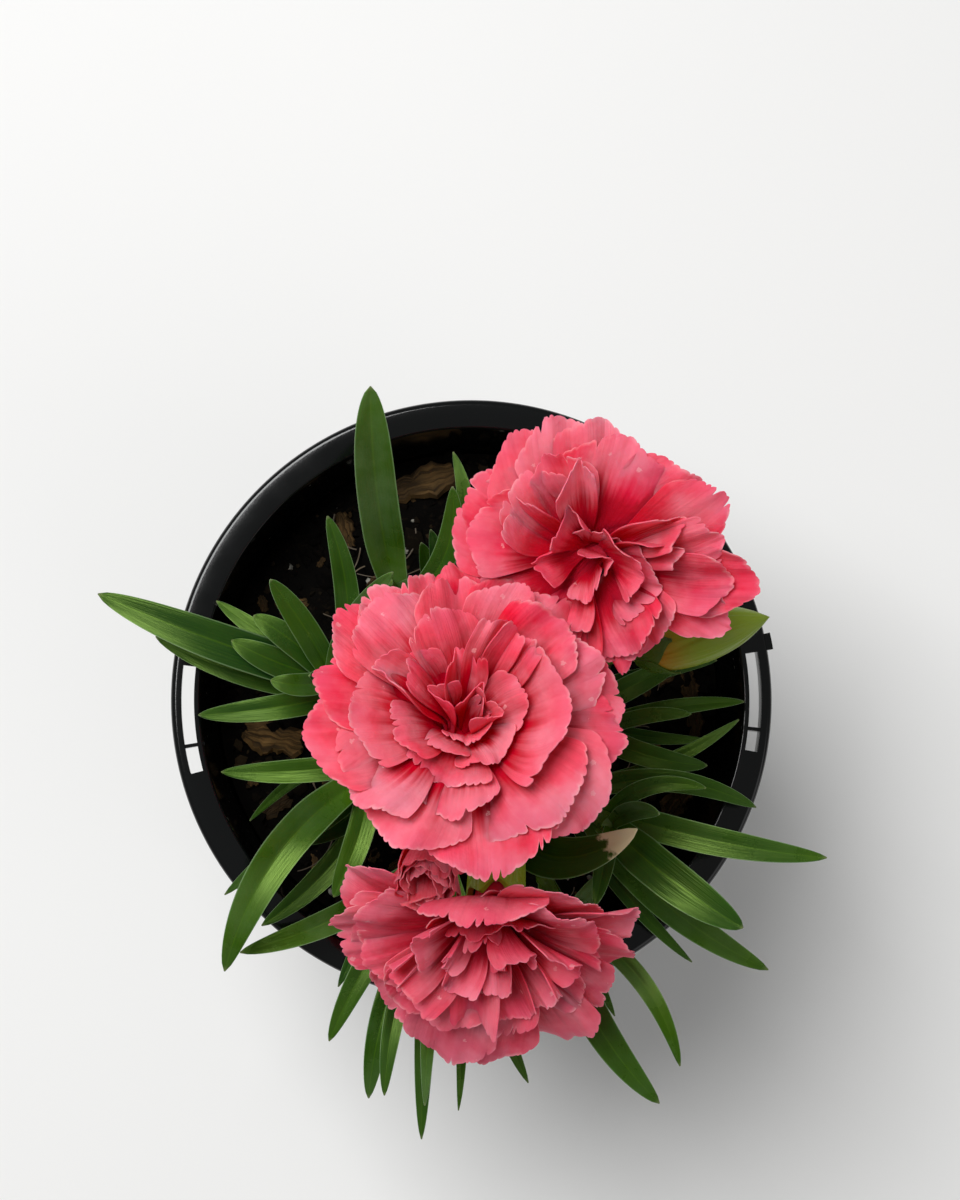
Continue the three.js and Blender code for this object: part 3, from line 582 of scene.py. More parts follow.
def grid_uv(u, v):
    """Texture places for a grid: u across from 0 to 1, v along."""
    u, v = np.broadcast_arrays(u, v)
    return np.stack([u, v], axis=-1).reshape(-1, 2)


def turned_rings(outline, sides, reshape=None):
    """Rings of a body of revolution about Z from [radius, height] pairs. reshape(radius, height,
    angle) may then change both. The angle runs from -Y towards +X, as on the CAD's bodies."""
    outline = np.asarray(outline, float)
    angle = np.linspace(0, TAU, sides + 1)[None, :]
    radius = outline[:, :1] + 0 * angle
    height = outline[:, 1:] + 0 * angle
    if reshape:
        radius, height = reshape(radius, height, angle)
    return np.stack([radius * np.sin(angle), -radius * np.cos(angle), height], axis=-1)


def rounded(outline, steps):
    """An outline drawn finer: a Catmull-Rom curve through its points, which stay on it."""
    outline = np.asarray(outline, float)
    ends = np.concatenate([outline[:1], outline, outline[-1:]])
    t = np.linspace(0, 1, steps, endpoint=False)[None, :, None]
    a, b, c, d = (ends[k : len(ends) - 3 + k, None, :] for k in range(4))
    curve = b + 0.5 * t * (c - a + t * (2 * a - 5 * b + 4 * c - d + t * (3 * (b - c) + d - a)))
    return np.concatenate([curve.reshape(-1, outline.shape[1]), outline[-1:]])


def tube_rings(path, radius, sides):
    """Rings of a round tube along a path, closed at both ends: at each path point a circle stands
    square to the path, turned from the world axis that the path stays furthest away from."""
    tangent = unit(np.gradient(path, axis=0))
    axis = np.eye(3)[np.argmin(np.abs(tangent).max(axis=0))]
    across = unit(np.cross(tangent, axis))
    over = np.cross(across, tangent)
    angle = np.linspace(0, TAU, sides + 1)
    c, s = np.cos(angle)[None, :, None], np.sin(angle)[None, :, None]
    circle = c * across[:, None] + s * over[:, None]
    rings = path[:, None] + circle * np.broadcast_to(radius, len(path))[:, None, None]
    first = np.repeat(path[:1, None], sides + 1, axis=1)
    last = np.repeat(path[-1:, None], sides + 1, axis=1)
    return np.concatenate([first, rings, last])


def add_tube(piece, path, radius, sides, material=0, **traits):
    """A round closed tube along a path, with v running along it."""
    piece.add_turned(tube_rings(path, radius, sides), material, **traits)


# ---------------------------------------------------------------- settings


def length_prop(name, description, default):
    """A length in millimetres."""
    return bpy.props.FloatProperty(name=name, description=description, default=default, min=0.01)


def count_prop(name, description, default):
    """A whole number of parts or steps."""
    return bpy.props.IntProperty(name=name, description=description, default=default, min=1)


def colour_prop(name, description, default):
    """A scene-linear colour."""
    return bpy.props.FloatVectorProperty(
        name=name, description=description, default=default, size=3, min=0, max=1, subtype="COLOR"
    )


def place_prop(name, description, default):
    """A place in the scene, in metres."""
    return bpy.props.FloatVectorProperty(name=name, description=description, default=default, subtype="XYZ")


def light_prop(name, description, default, subtype="POWER"):
    """How strong a light is."""
    return bpy.props.FloatProperty(
        name=name, description=description, default=default, min=0, subtype=subtype
    )


class DIANTHUS_PG_pot(bpy.types.PropertyGroup):
    height: length_prop("Height", "Height of the pot, mm", 124)
    rim_radius: length_prop("Rim radius", "Outer radius of the rim, mm", 70)
    base_radius: length_prop("Base radius", "Outer radius of the base, mm", 50)
    wall_top_radius: length_prop("Wall top radius", "Outer radius of the wall under the rim, mm", 64.4)
    wall: length_prop("Wall", "Thickness of the wall, mm", 1.2)
    floor: length_prop("Floor", "Thickness of the floor, mm", 1.8)
    lip_width: length_prop("Lip width", "Width of the rim's down-turned edge, mm", 2.5)
    lip_depth: length_prop("Lip depth", "Depth of the rim's down-turned edge, mm", 11)
    rim_thickness: length_prop("Rim thickness", "Thickness of the flat rim, mm", 1.5)
    drain_radius: length_prop("Drain radius", "Radius of each drainage hole, mm", 4)
    drain_circle: length_prop("Drain circle", "Radius of the circle of drainage holes, mm", 36)
    colour: colour_prop("Colour", "Black plastic", (0.0018, 0.0023, 0.0024))
    dust: colour_prop("Dust", "Dust and dried splashes on the plastic", (0.12, 0.11, 0.095))


class DIANTHUS_PG_mix(bpy.types.PropertyGroup):
    top: length_prop("Top", "Mean height of the mix's surface, mm", 102)
    relief: length_prop("Relief", "Height of its heaps, mm", 1.6)
    clearance: length_prop("Clearance", "Space between mix and wall, mm", 0.65)
    crumbs: count_prop("Crumbs", "Loose crumbs on the surface", 2600)
    chips: count_prop("Chips", "Small bark chips", 120)
    grains: count_prop("Grains", "White mineral grains", 90)
    fibres: count_prop("Fibres", "Root hairs and fibres", 70)
    dark: colour_prop("Dark", "Wet peat", (0.0013, 0.001, 0.0007))
    light: colour_prop("Light", "Dry peat", (0.03, 0.02, 0.01))
    bark: colour_prop("Bark", "Bark chips", (0.17, 0.095, 0.03))
    grain: colour_prop("Grain", "Mineral grains", (0.26, 0.25, 0.21))
    fibre: colour_prop("Fibre", "Root hairs", (0.16, 0.12, 0.075))


class DIANTHUS_PG_foliage(bpy.types.PropertyGroup):
    shoot_radius: length_prop("Shoot radius", "Radius of a leafy shoot's stem, mm", 1.8)
    flower_radius: length_prop("Flower stem radius", "Radius of a flowering stem, mm", 1.6)
    branch_radius: length_prop("Branch radius", "Radius of the side branch, mm", 1.3)
    root_depth: length_prop("Root depth", "How far a stem goes down into the mix, mm", 24)
    leaf_thickness: length_prop("Leaf thickness", "Thickness of a leaf at its midrib, mm", 0.85)
    leaf_rows: count_prop("Leaf rows", "Steps along a leaf", 34)
    leaf_columns: count_prop("Leaf columns", "Steps across a leaf", 12)
    young: colour_prop("Young green", "Youngest and thinnest green", (0.062, 0.145, 0.002))
    leaf: colour_prop("Leaf green", "Grown leaves", (0.011, 0.043, 0.0003))
    deep: colour_prop("Deep green", "Old and shaded leaves", (0.0075, 0.034, 0.01))
    wax: colour_prop("Wax", "Pale waxy bloom on leaves and stems", (0.2, 0.31, 0.15))
    stem: colour_prop("Stem green", "Stems and calyces", (0.12, 0.2, 0.012))
    # Bud green is partly a fresher green and partly painted light on the calyces and closed bud in the
    # blooms' shade
    bud: colour_prop("Bud green", "Skin of the closed bud", (0.32, 0.43, 0.03))
    blush: colour_prop("Blush", "Warm blush at the closed bud's foot", (0.55, 0.16, 0.02))
    dry: colour_prop("Dry", "Withered leaf tip", (0.66, 0.56, 0.36))


class DIANTHUS_PG_petals(bpy.types.PropertyGroup):
    thickness: length_prop("Thickness", "Thickness of a petal at its claw, mm", 0.5)
    rows: count_prop("Rows", "Steps along a petal", 18)
    teeth: count_prop("Teeth", "Teeth on the edge of a broad petal", 15)
    tooth_depth: length_prop("Tooth depth", "Depth of a usual notch, mm", 0.75)
    heart: colour_prop("Heart", "Deep red at the claws", (0.5, 0.0002, 0.012))
    blotch: colour_prop("Blotch", "Red blotch towards the base", (0.74, 0.0008, 0.03))
    pink: colour_prop("Pink", "Body of the petals", (0.82, 0.012, 0.05))
    pale: colour_prop("Pale", "Outer part of the petals", (0.88, 0.072, 0.138))
    faded: colour_prop("Faded", "Palest patches of the petals", (0.98, 0.3, 0.37))
    margin: colour_prop("Margin", "Thin edge of the petals", (0.95, 0.4, 0.42))
    dusk: colour_prop("Dusk", "Cooler tone of ageing petals", (0.45, 0.06, 0.115))


class DIANTHUS_PG_studio(bpy.types.PropertyGroup):
    camera: place_prop("Camera", "Place of the camera", (-0.024, -0.014, 0.724))
    target: place_prop("Target", "Point the camera looks at", (0.00163, 0.02295, 0.124))
    lens: length_prop("Lens", "Focal length, mm, on a 36 mm picture height", 77.49)
    floor_colour: colour_prop("Floor", "Plain pale floor", (0.86, 0.86, 0.85))
    sky: light_prop("Sky", "Strength of the even light", 0.22, "NONE")
    key: light_prop("Key", "Power of the large soft light", 19)
    fill: light_prop("Fill", "Power of the fill light", 2.4)


# ---------------------------------------------------------------- shader building


class Shader:
    """Adds nodes to a tree and wires them. Each call gives back the new node's output socket."""

    def __init__(self, tree):
        self.tree = tree

    def fill(self, sockets, inputs):
        """Wires each input that is a socket into its place, and sets each other one on the place
        itself."""
        for key, value in inputs.items():
            if isinstance(value, bpy.types.NodeSocket):
                self.tree.links.new(value, sockets[key])
            else:
                sockets[key].default_value = value

    def add(self, kind, inputs=None, output=0, **settings):
        node = self.tree.nodes.new(kind)
        for name, value in settings.items():
            setattr(node, name, value)
        self.fill(node.inputs, inputs or {})
        return node.outputs[output]

    def maths(self, operation, a, b=0.0, clamp=False):
        return self.add("ShaderNodeMath", {0: a, 1: b}, operation=operation, use_clamp=clamp)

    def times(self, a, b, clamp=False):
        return self.maths("MULTIPLY", a, b, clamp)

    def plus(self, a, b, clamp=False):
        return self.maths("ADD", a, b, clamp)

    def noise(self, scale, detail=3.0, roughness=0.55, distortion=0.0, vector=None):
        """Noise over that vector, or else over the piece's own space."""
        vector = self.place() if vector is None else vector
        inputs = {"Vector": vector, "Scale": scale, "Detail": detail, "Roughness": roughness}
        return self.add("ShaderNodeTexNoise", {**inputs, "Distortion": distortion})

    def range(self, value, low, high, to_low=0.0, to_high=1.0):
        """A soft step: to_low up to low, to_high from high on."""
        inputs = {"Value": value, "From Min": low, "From Max": high, "To Min": to_low, "To Max": to_high}
        return self.add("ShaderNodeMapRange", inputs, interpolation_type="SMOOTHSTEP")

    def mix(self, factor, a, b):
        opaque = [v if isinstance(v, bpy.types.NodeSocket) else (*v[:3], 1) for v in (a, b)]
        return self.add("ShaderNodeMix", {0: factor, 6: opaque[0], 7: opaque[1]}, 2, data_type="RGBA")

    def tinge(self, tone, mask, share, colour):
        """A tone with that share of a colour laid over it where the mask is 1."""
        return self.mix(self.times(mask, share), tone, colour)

    def ramp(self, factor, stops):
        socket = self.add("ShaderNodeValToRGB", {"Fac": factor})
        ramp = socket.node.color_ramp
        while len(ramp.elements) < len(stops):
            ramp.elements.new(0.5)
        for element, (position, colour) in zip(ramp.elements, stops):
            element.position = position
            element.color = (*colour[:3], 1)
        return socket

    def trait(self, name):
        return self.add("ShaderNodeAttribute", output="Fac", attribute_name=name)

    def uv(self):
        split = self.add("ShaderNodeSeparateXYZ", {0: self.add("ShaderNodeUVMap", uv_map="UVMap")})
        return split, split.node.outputs[1]

    def place(self):
        return self.add("ShaderNodeTexCoord", output="Object")

    def vector(self, *parts):
        return self.add("ShaderNodeCombineXYZ", dict(enumerate(parts)))

    def bump(self, height, distance, strength):
        return self.add("ShaderNodeBump", {"Height": height, "Distance": distance, "Strength": strength})

    def group(self, name, **inputs):
        named = {key.capitalize(): value for key, value in inputs.items()}
        return self.add("ShaderNodeGroup", named, node_tree=bpy.data.node_groups[name])


def new_group(name, inputs, outputs=("Mask",)):
    """An empty shader group: its shader, its inputs and the sockets of its end. An input with no
    default is a colour, as is an output named Colour, and the others are numbers."""
    tree = bpy.data.node_groups.new(name, "ShaderNodeTree")
    number, colour = "NodeSocketFloat", "NodeSocketColor"
    for socket, default in inputs.items():
        kind = colour if default is None else number
        made = tree.interface.new_socket(name=socket, in_out="INPUT", socket_type=kind)
        if default is not None:
            made.default_value = default
    for socket in outputs:
        kind = colour if socket == "Colour" else number
        tree.interface.new_socket(name=socket, in_out="OUTPUT", socket_type=kind)
    start = tree.nodes.new("NodeGroupInput")
    end = tree.nodes.new("NodeGroupOutput")
    return Shader(tree), {o.name: o for o in start.outputs}, end.inputs


def streak_group():
    """Lines that run along a piece: noise over (u times Count, v times Run), moved across by a slow
    noise times Wander, and another pattern for each Shift."""
    shader, given, end = new_group("Streaks", {"Count": 30.0, "Run": 2.0, "Shift": 0.0, "Wander": 0.0})
    u, v = shader.uv()
    slow = shader.noise(3.0, detail=1.0, vector=shader.vector(u, v, given["Shift"]))
    across = shader.times(shader.plus(u, shader.times(slow, given["Wander"])), given["Count"])
    line = shader.vector(across, shader.times(v, given["Run"]), given["Shift"])
    lines = shader.noise(1.0, detail=2.5, vector=line)
    shader.fill(end, {"Mask": shader.range(lines, 0.3, 0.7)})


def mottle_group():
    """Soft patches in the piece's own space: noise of that Scale, spread by Low and High."""
    shader, given, end = new_group("Mottle", {"Scale": 100.0, "Shift": 0.0, "Low": 0.35, "High": 0.65})
    shift = shader.add("ShaderNodeCombineXYZ", {2: given["Shift"]})
    moved = shader.add("ShaderNodeVectorMath", {0: shader.place(), 1: shift}, operation="ADD")
    patches = shader.noise(given["Scale"], detail=4.0, vector=moved)
    shader.fill(end, {"Mask": shader.range(patches, given["Low"], given["High"])})


def speck_group():
    """Small ragged specks: one in each cell of a Voronoi pattern whose own draw is over Rarity."""
    shader, given, end = new_group("Specks", {"Scale": 600.0, "Size": 0.2, "Rarity": 0.9})
    cells = shader.add("ShaderNodeTexVoronoi", {"Vector": shader.place(), "Scale": given["Scale"]})
    ragged = shader.times(shader.noise(2400.0, detail=2.0), given["Size"])
    near = shader.maths("LESS_THAN", shader.plus(cells, ragged), given["Size"])
    chosen = shader.add("ShaderNodeSeparateColor", {0: cells.node.outputs["Color"]})
    rare = shader.maths("GREATER_THAN", chosen, given["Rarity"])
    shader.fill(end, {"Mask": shader.times(near, rare)})


def wax_group():
    """Waxy bloom laid over a green in patches with a fine grain. It is duller than the bare skin."""
    inputs = {"Green": None, "Wax": None, "Amount": 0.3, "Shift": 0.0}
    shader, given, end = new_group("Waxy bloom", inputs, ("Colour", "Roughness"))
    patches = shader.group("Mottle", scale=85.0, shift=given["Shift"], low=0.3, high=0.75)
    grain = shader.range(shader.noise(2600.0, detail=2.0), 0.3, 0.7, 0.75, 1.0)
    cover = shader.times(shader.times(patches, grain), given["Amount"], clamp=True)
    waxed = shader.mix(cover, given["Green"], given["Wax"])
    shader.fill(end, {"Colour": waxed, "Roughness": shader.range(cover, 0.0, 0.3, 0.27, 0.42)})


def new_material(name):
    """A material and its shader."""
    material = bpy.data.materials.new(name)
    material.use_nodes = True
    return material, Shader(material.node_tree)


def finished(material, looks):
    """The material, with those looks on its Principled BSDF."""
    tree = material.node_tree
    Shader(tree).fill(tree.nodes["Principled BSDF"].inputs, looks)
    return material


def shade(colour, share):
    """A darker colour of the same hue."""
    return tuple(c * share for c in colour)


def flesh(weight, radius, scale):
    """How light spreads inside soft plant parts: its share, its reach in red, green and blue, and
    the scale of that reach in metres."""
    return {"Subsurface Weight": weight, "Subsurface Radius": radius, "Subsurface Scale": scale}


# ---------------------------------------------------------------- materials


def plastic_material(pot):
    """Moulded black plastic: fine grain, faint scuffs, specks of mix and a film of dust."""
    material, shader = new_material("moulded_plastic")
    film = shader.group("Mottle", scale=38.0, low=0.45, high=0.8)
    scuffs = shader.range(shader.noise(900.0, detail=2.0, roughness=0.7, distortion=1.5), 0.66, 0.74)
    specks = shader.group("Specks", scale=420.0, size=0.3, rarity=0.965)
    dusty = shader.plus(shader.times(film, 0.008), shader.times(scuffs, 0.02))
    dusty = shader.maths("MAXIMUM", dusty, shader.times(specks, 0.5))
    rough = shader.range(film, 0.0, 1.0, 0.1, 0.17)
    looks = {
        "Base Color": shader.mix(dusty, pot.colour, pot.dust),
        "Roughness": shader.plus(rough, shader.times(specks, 0.3)),
        "Normal": shader.bump(shader.noise(1600.0), distance=0.00003, strength=0.3),
        "Specular IOR Level": 0.38,
    }
    return finished(material, looks)


def mix_material(mix):
    """Peat: dark crumbs with drier patches and a rough, pitted skin."""
    material, shader = new_material("peat")
    patches = shader.group("Mottle", scale=60.0, low=0.4, high=0.75)
    grit = shader.noise(700.0, detail=6.0, roughness=0.7)
    dry = shader.times(shader.range(grit, 0.5, 0.72), shader.times(patches, 0.5))
    crumb = shader.times(shader.maths("POWER", shader.trait("tint"), 5.0), 0.9)
    looks = {
        "Base Color": shader.mix(shader.plus(dry, crumb, clamp=True), mix.dark, mix.light),
        "Roughness": 0.9,
        "Normal": shader.bump(grit, distance=0.0006, strength=0.9),
        "Specular IOR Level": 0.06,
    }
    return finished(material, looks)


def bark_material(mix):
    """Bark chips: grain along each chip, darker where wet, each with its own tone."""
    material, shader = new_material("bark_chip")
    tint = shader.trait("tint")
    grain = shader.group("Streaks", count=9.0, run=1.2, shift=shader.times(tint, 40.0), wander=0.1)
    wet = shader.group("Mottle", scale=150.0, low=0.3, high=0.7)
    body = shader.mix(shader.times(grain, shader.plus(tint, 0.1)), shade(mix.bark, 0.16), mix.bark)
    looks = {
        "Base Color": shader.tinge(body, wet, 0.6, mix.dark),
        "Roughness": 0.8,
        "Normal": shader.bump(grain, distance=0.0005, strength=0.8),
        "Specular IOR Level": 0.15,
    }
    return finished(material, looks)


def grain_material(mix):
    """Porous white grains, stained by the peat."""
    material, shader = new_material("mineral_grain")
    stain = shader.group("Mottle", scale=380.0, low=0.35, high=0.75)
    looks = {
        "Base Color": shader.mix(stain, mix.grain, shade(mix.grain, 0.25)),
        "Roughness": 0.85,
        "Normal": shader.bump(shader.noise(2500.0, detail=4.0), distance=0.0002, strength=0.8),
    }
    return finished(material, looks)


def fibre_material(mix):
    """Root hairs and coir fibres, each with its own tone."""
    material, shader = new_material("root_fibre")
    colour = shader.mix(shader.trait("tint"), shade(mix.fibre, 0.2), mix.fibre)
    return finished(material, {"Base Color": colour, "Roughness": 0.7})


def leaf_material(foliage):
    """Strap leaves: parallel veins, a paler midrib and base, a thin light edge, a waxy bloom that is
    thicker underneath, and a tip that may be dry. On the upper side of the lighter leaves the wax
    stands in part for painted sheen."""
    material, shader = new_material("strap_leaf")
    u, v = shader.uv()
    tint = shader.trait("tint")
    veins = shader.group("Streaks", count=34.0, run=1.4, shift=shader.times(tint, 50.0))
    off_middle = shader.maths("ABSOLUTE", shader.maths("SUBTRACT", u, 0.5))
    tone = shader.mix(tint, foliage.deep, foliage.leaf)
    tone = shader.tinge(tone, veins, 0.1, foliage.young)
    sunny = shader.group("Mottle", scale=30.0, shift=tint, low=0.35, high=0.7)
    tone = shader.tinge(tone, sunny, 0.3, foliage.young)
    rib = shader.range(off_middle, 0.0, 0.045, 0.3, 0.0)
    base = shader.range(v, 0.0, 0.3, 0.7, 0.0)
    tone = shader.mix(shader.maths("MAXIMUM", rib, base), tone, foliage.young)
    tone = shader.tinge(tone, shader.range(off_middle, 0.468, 0.49), 0.45, foliage.wax)
    # partly painted sheen: the lighter leaves get more wax on top, as a brighter, greyer green
    above = shader.times(shader.maths("POWER", tint, 3.0), 0.22)
    amount = shader.plus(above, shader.times(shader.trait("back"), 0.35))
    wax = shader.group("Waxy bloom", green=tone, wax=(*foliage.wax, 1), amount=amount, shift=tint)
    tip_burn = shader.times(shader.range(v, 0.975, 1.0), 0.12)
    ragged = shader.times(shader.noise(500.0), 0.9)
    withered = shader.range(shader.plus(shader.trait("dry"), ragged), 0.7, 0.95)
    relief = shader.plus(veins, shader.times(shader.noise(1800.0), 0.4))
    looks = {
        "Base Color": shader.mix(shader.maths("MAXIMUM", tip_burn, withered, clamp=True), wax, foliage.dry),
        "Roughness": wax.node.outputs["Roughness"],
        "Normal": shader.bump(relief, distance=0.00014, strength=0.28),
        "Specular IOR Level": 0.52,
        "Specular Tint": (0.65, 1.0, 0.22, 1.0),
        **flesh(0.08, (0.4, 1.0, 0.1), 0.0015),
    }
    return finished(material, looks)


def stem_material(foliage):
    """Stems, calyces and the closed bud: fine ribs, waxy bloom, a warm blush, and calyces and bud
    turned towards the lighter bud green, partly as fresher green and partly as painted light where
    they lie in the blooms' shade.
    """
    material, shader = new_material("stem_skin")
    tint = shader.trait("tint")
    ribs = shader.group("Streaks", count=46.0, run=0.8, shift=tint, wander=0.02)
    tone = shader.mix(tint, foliage.leaf, foliage.stem)
    tone = shader.tinge(tone, ribs, 0.35, foliage.young)
    # painted light, in part: calyces and the closed bud turn towards the lighter bud green where the blooms
    # shade them
    tone = shader.mix(shader.trait("fresh"), tone, foliage.bud)
    tone = shader.mix(shader.trait("blush"), tone, foliage.blush)
    wax = shader.group("Waxy bloom", green=tone, wax=(*foliage.wax, 1), amount=0.15, shift=tint)
    looks = {
        "Base Color": wax,
        "Roughness": wax.node.outputs["Roughness"],
        "Normal": shader.bump(ribs, distance=0.00015, strength=0.6),
        "Specular IOR Level": 0.18,
        **flesh(0.1, (0.6, 1.0, 0.1), 0.0015),
    }
    return finished(material, looks)


def petal_material(petals, name, deepen):
    """Petals: a deep red claw, a jagged red blotch, a faintly streaked pink limb, a pale edge and
    pale flecks, with painted shade in the claw's red where a petal lies under the petals over it, and
    patches of painted highlight along the pale edge. deepen moves every tone towards the claw's red,
    for petals that still unfold."""
    material, shader = new_material(name)
    v = shader.uv()[1]
    tint, steep = shader.trait("tint"), shader.trait("steep")
    shift = shader.times(tint, 60.0)
    streaks = shader.group("Streaks", count=26.0, run=1.1, shift=shift, wander=0.05)
    jagged = shader.group("Streaks", count=13.0, run=0.6, shift=shift)
    reach = shader.plus(v, shader.times(shader.maths("SUBTRACT", 0.5, jagged), 0.15))
    # painted shade: the trait sunk moves the tone towards the claw's red under the petals over it
    sunk = shader.times(shader.trait("sunk"), 0.3)
    deep = shader.plus(shader.plus(shader.times(steep, 0.2), sunk), deepen)
    stops = [
        (0.0, petals.heart),
        (0.34, petals.heart),
        (0.53, petals.blotch),
        (0.59, petals.pink),
        (0.95, petals.pale),
    ]
    tone = shader.ramp(shader.maths("SUBTRACT", reach, deep), stops)
    tone = shader.tinge(tone, streaks, 0.05, petals.blotch)
    patches = shader.group("Mottle", scale=70.0, shift=tint, low=0.35, high=0.7)
    faded = shader.plus(shader.times(patches, 0.45), shader.times(tint, 0.3))
    tone = shader.tinge(tone, faded, shader.range(reach, 0.5, 0.8), petals.faded)
    aged = shader.range(patches, 0.0, 1.0, 0.65, 0.35)
    tone = shader.tinge(tone, shader.trait("dusk"), aged, petals.dusk)
    tone = shader.tinge(tone, shader.trait("back"), 0.25, petals.pale)
    flecks = shader.group("Specks", scale=330.0, size=0.36, rarity=0.9)
    tone = shader.tinge(tone, flecks, 0.45, petals.margin)
    # the pale edge comes in patches: partly the petal's own pale margin, partly painted highlight
    pale_margin_and_highlight_patches = shader.group("Mottle", scale=160.0, shift=tint, low=0.4, high=0.62)
    rim = shader.times(pale_margin_and_highlight_patches, shader.range(steep, 0.2, 0.9, 0.5, 0.25))
    relief = shader.plus(shader.times(streaks, 0.12), shader.noise(240.0, roughness=0.5))
    looks = {
        "Base Color": shader.tinge(tone, shader.range(v, 0.965, 1.0), rim, petals.margin),
        "Roughness": shader.range(streaks, 0.0, 1.0, 0.5, 0.62),
        "Normal": shader.bump(relief, distance=0.0011, strength=0.45),
        "Specular IOR Level": 0.1,
        "Specular Tint": (1.0, 0.3, 0.42, 1.0),
        **flesh(0.45, (1.0, 0.12, 0.2), 0.003),
    }
    return finished(material, looks)


def plain_material(name, colour, roughness):
    """A plain stage finish."""
    material, _ = new_material(name)
    return finished(material, {"Base Color": (*colour, 1), "Roughness": roughness})


# ---------------------------------------------------------------- pot


def outside_radius(pot, z):
    """Radius of the wall's outer face at height z."""
    return pot.base_radius + (pot.wall_top_radius - pot.base_radius) * z / pot.height


def inside_radius(pot, z):
    """Radius of the wall's inner face at height z."""
    return outside_radius(pot, z) - pot.wall


def pot_outline(pot):
    """The pot's section from the centre of its underside, up the wall, round the rim and down the
    inside. Each hard corner of the moulding has a small arc."""

    def arc(centre, radius, start, end, steps=5):
        angle = np.radians(np.linspace(start, end, steps))
        return [(centre[0] + radius * np.cos(a), centre[1] + radius * np.sin(a)) for a in angle]

    under = pot.height - pot.rim_thickness
    lip = pot.rim_radius - pot.lip_width
    low = pot.height - pot.lip_depth
    foot, rim, mouth, corner = 0.9, 1.3, 0.5, 1.2  # radii of the arcs
    wall = [(outside_radius(pot, z), z) for z in np.linspace(2.2, under - 0.6, 12)]
    inside = [(inside_radius(pot, z), z) for z in np.linspace(under - 1, pot.floor + 1, 12)]
    return [
        (0, 0.35),
        (pot.base_radius - 5.2, 0.35),
        (pot.base_radius - 4.6, 0),
        *arc((pot.base_radius - foot, foot), foot, -90, -5),
        *wall,
        (outside_radius(pot, under) + 0.5, under),
        (lip + 0.4, under),
        (lip + 0.9, low + 0.3),
        *arc((pot.rim_radius - 0.65, low + 0.5), 0.45, -160, 0),
        *arc((pot.rim_radius - rim, pot.height - rim), rim, 0, 90, 9),
        (lip - 0.2, pot.height - 0.05),
        *arc((inside_radius(pot, pot.height) + mouth, pot.height - 0.6), mouth, 90, 180),
        *inside,
        *arc((inside_radius(pot, pot.floor) - corner, pot.floor + corner), corner, 0, -90),
        (0, pot.floor),
    ]


def cutter(points, faces):
    """The mesh of a closed block, from points in millimetres."""
    mesh = bpy.data.meshes.new("cutter")
    mesh.from_pydata(points * MM, [], faces)
    return mesh


def arc_block(inner, outer, angles, heights, steps=24):
    """Closed block between two radii, two plan angles in degrees and two heights, as a mesh."""
    angle = np.radians(np.linspace(angles[0], angles[1], steps))
    ring = [(inner, heights[0]), (outer, heights[0]), (outer, heights[1]), (inner, heights[1])]
    points = np.array([[(r * np.cos(a), r * np.sin(a), z) for r, z in ring] for a in angle])
    index = np.arange(steps * 4).reshape(steps, 4)
    after = np.roll(index, -1, axis=1)
    sides = np.stack([index[:-1], index[1:], after[1:], after[:-1]], axis=-1)
    faces = np.concatenate([sides.reshape(-1, 4), [index[0]], [index[-1][::-1]]])
    return cutter(points.reshape(-1, 3), faces.tolist())


def drill(x, y, radius, heights, sides=40):
    """Closed upright cylinder as a mesh."""
    angle = np.linspace(0, TAU, sides, endpoint=False)
    circle = np.stack([x + radius * np.cos(angle), y + radius * np.sin(angle)], axis=1)
    points = np.concatenate([np.c_[circle, np.full(sides, z)] for z in heights])
    low = np.arange(sides)
    walls = np.stack([low, np.roll(low, -1), np.roll(low, -1) + sides, low + sides], axis=1)
    return cutter(points, [*walls.tolist(), low[::-1].tolist(), (low + sides).tolist()])


def combine(piece, meshes, operation):
    """Cuts closed meshes from a piece, or joins them to it, and keeps the result as its mesh."""
    for mesh in meshes:
        tool = linked("tool", mesh)
        change = piece.modifiers.new("change", "BOOLEAN")
        change.operation = operation
        change.solver = "EXACT"
        change.object = tool
        bpy.context.view_layer.update()
        changed = piece.evaluated_get(bpy.context.evaluated_depsgraph_get())
        result = bpy.data.meshes.new_from_object(changed)
        piece.modifiers.clear()
        piece.data = result
        bpy.data.objects.remove(tool)
    piece.data.set_sharp_from_angle(angle=np.radians(PLASTIC_SHARP))


def make_pot(pot, sides=240):
    """The nursery pot: a turned body, cut by the grip slots and drainage holes."""
    piece = Piece("nursery_pot_plastic")
    piece.add_turned(turned_rings(pot_outline(pot), sides))
    made = piece.make([plastic_material(pot)], "pot_plastic", ["nursery_pot"], PLASTIC_SHARP)
    lip = pot.rim_radius - pot.lip_width
    under = pot.height - pot.rim_thickness
    cuts = [
        arc_block(pot.wall_top_radius + 0.2, lip, (start, end), (under - 2, pot.height + 2))
        for start, end, _ in GRIP_SLOTS
    ]
    for k in range(DRAIN_HOLES):
        angle = TAU * k / DRAIN_HOLES
        x, y = pot.drain_circle * np.cos(angle), pot.drain_circle * np.sin(angle)
        cuts.append(drill(x, y, pot.drain_radius, (-1, 2 * pot.floor + 1)))
    combine(made, cuts, "DIFFERENCE")
    low = pot.height - pot.lip_depth + 1
    radii, heights = (pot.wall_top_radius - 1.4, lip + 1.2), (low, pot.height - 0.6)
    ribs = [arc_block(*radii, (at - RIB_HALF, at + RIB_HALF), heights, 4) for _, _, at in GRIP_SLOTS]
    nub_angles = (NUB_ANGLE - NUB_HALF, NUB_ANGLE + NUB_HALF)
    nub = arc_block(pot.rim_radius - 1, pot.rim_radius + 1.3, nub_angles, NUB_HEIGHTS, 8)
    combine(made, [*ribs, nub], "UNION")


# ---------------------------------------------------------------- potting mix


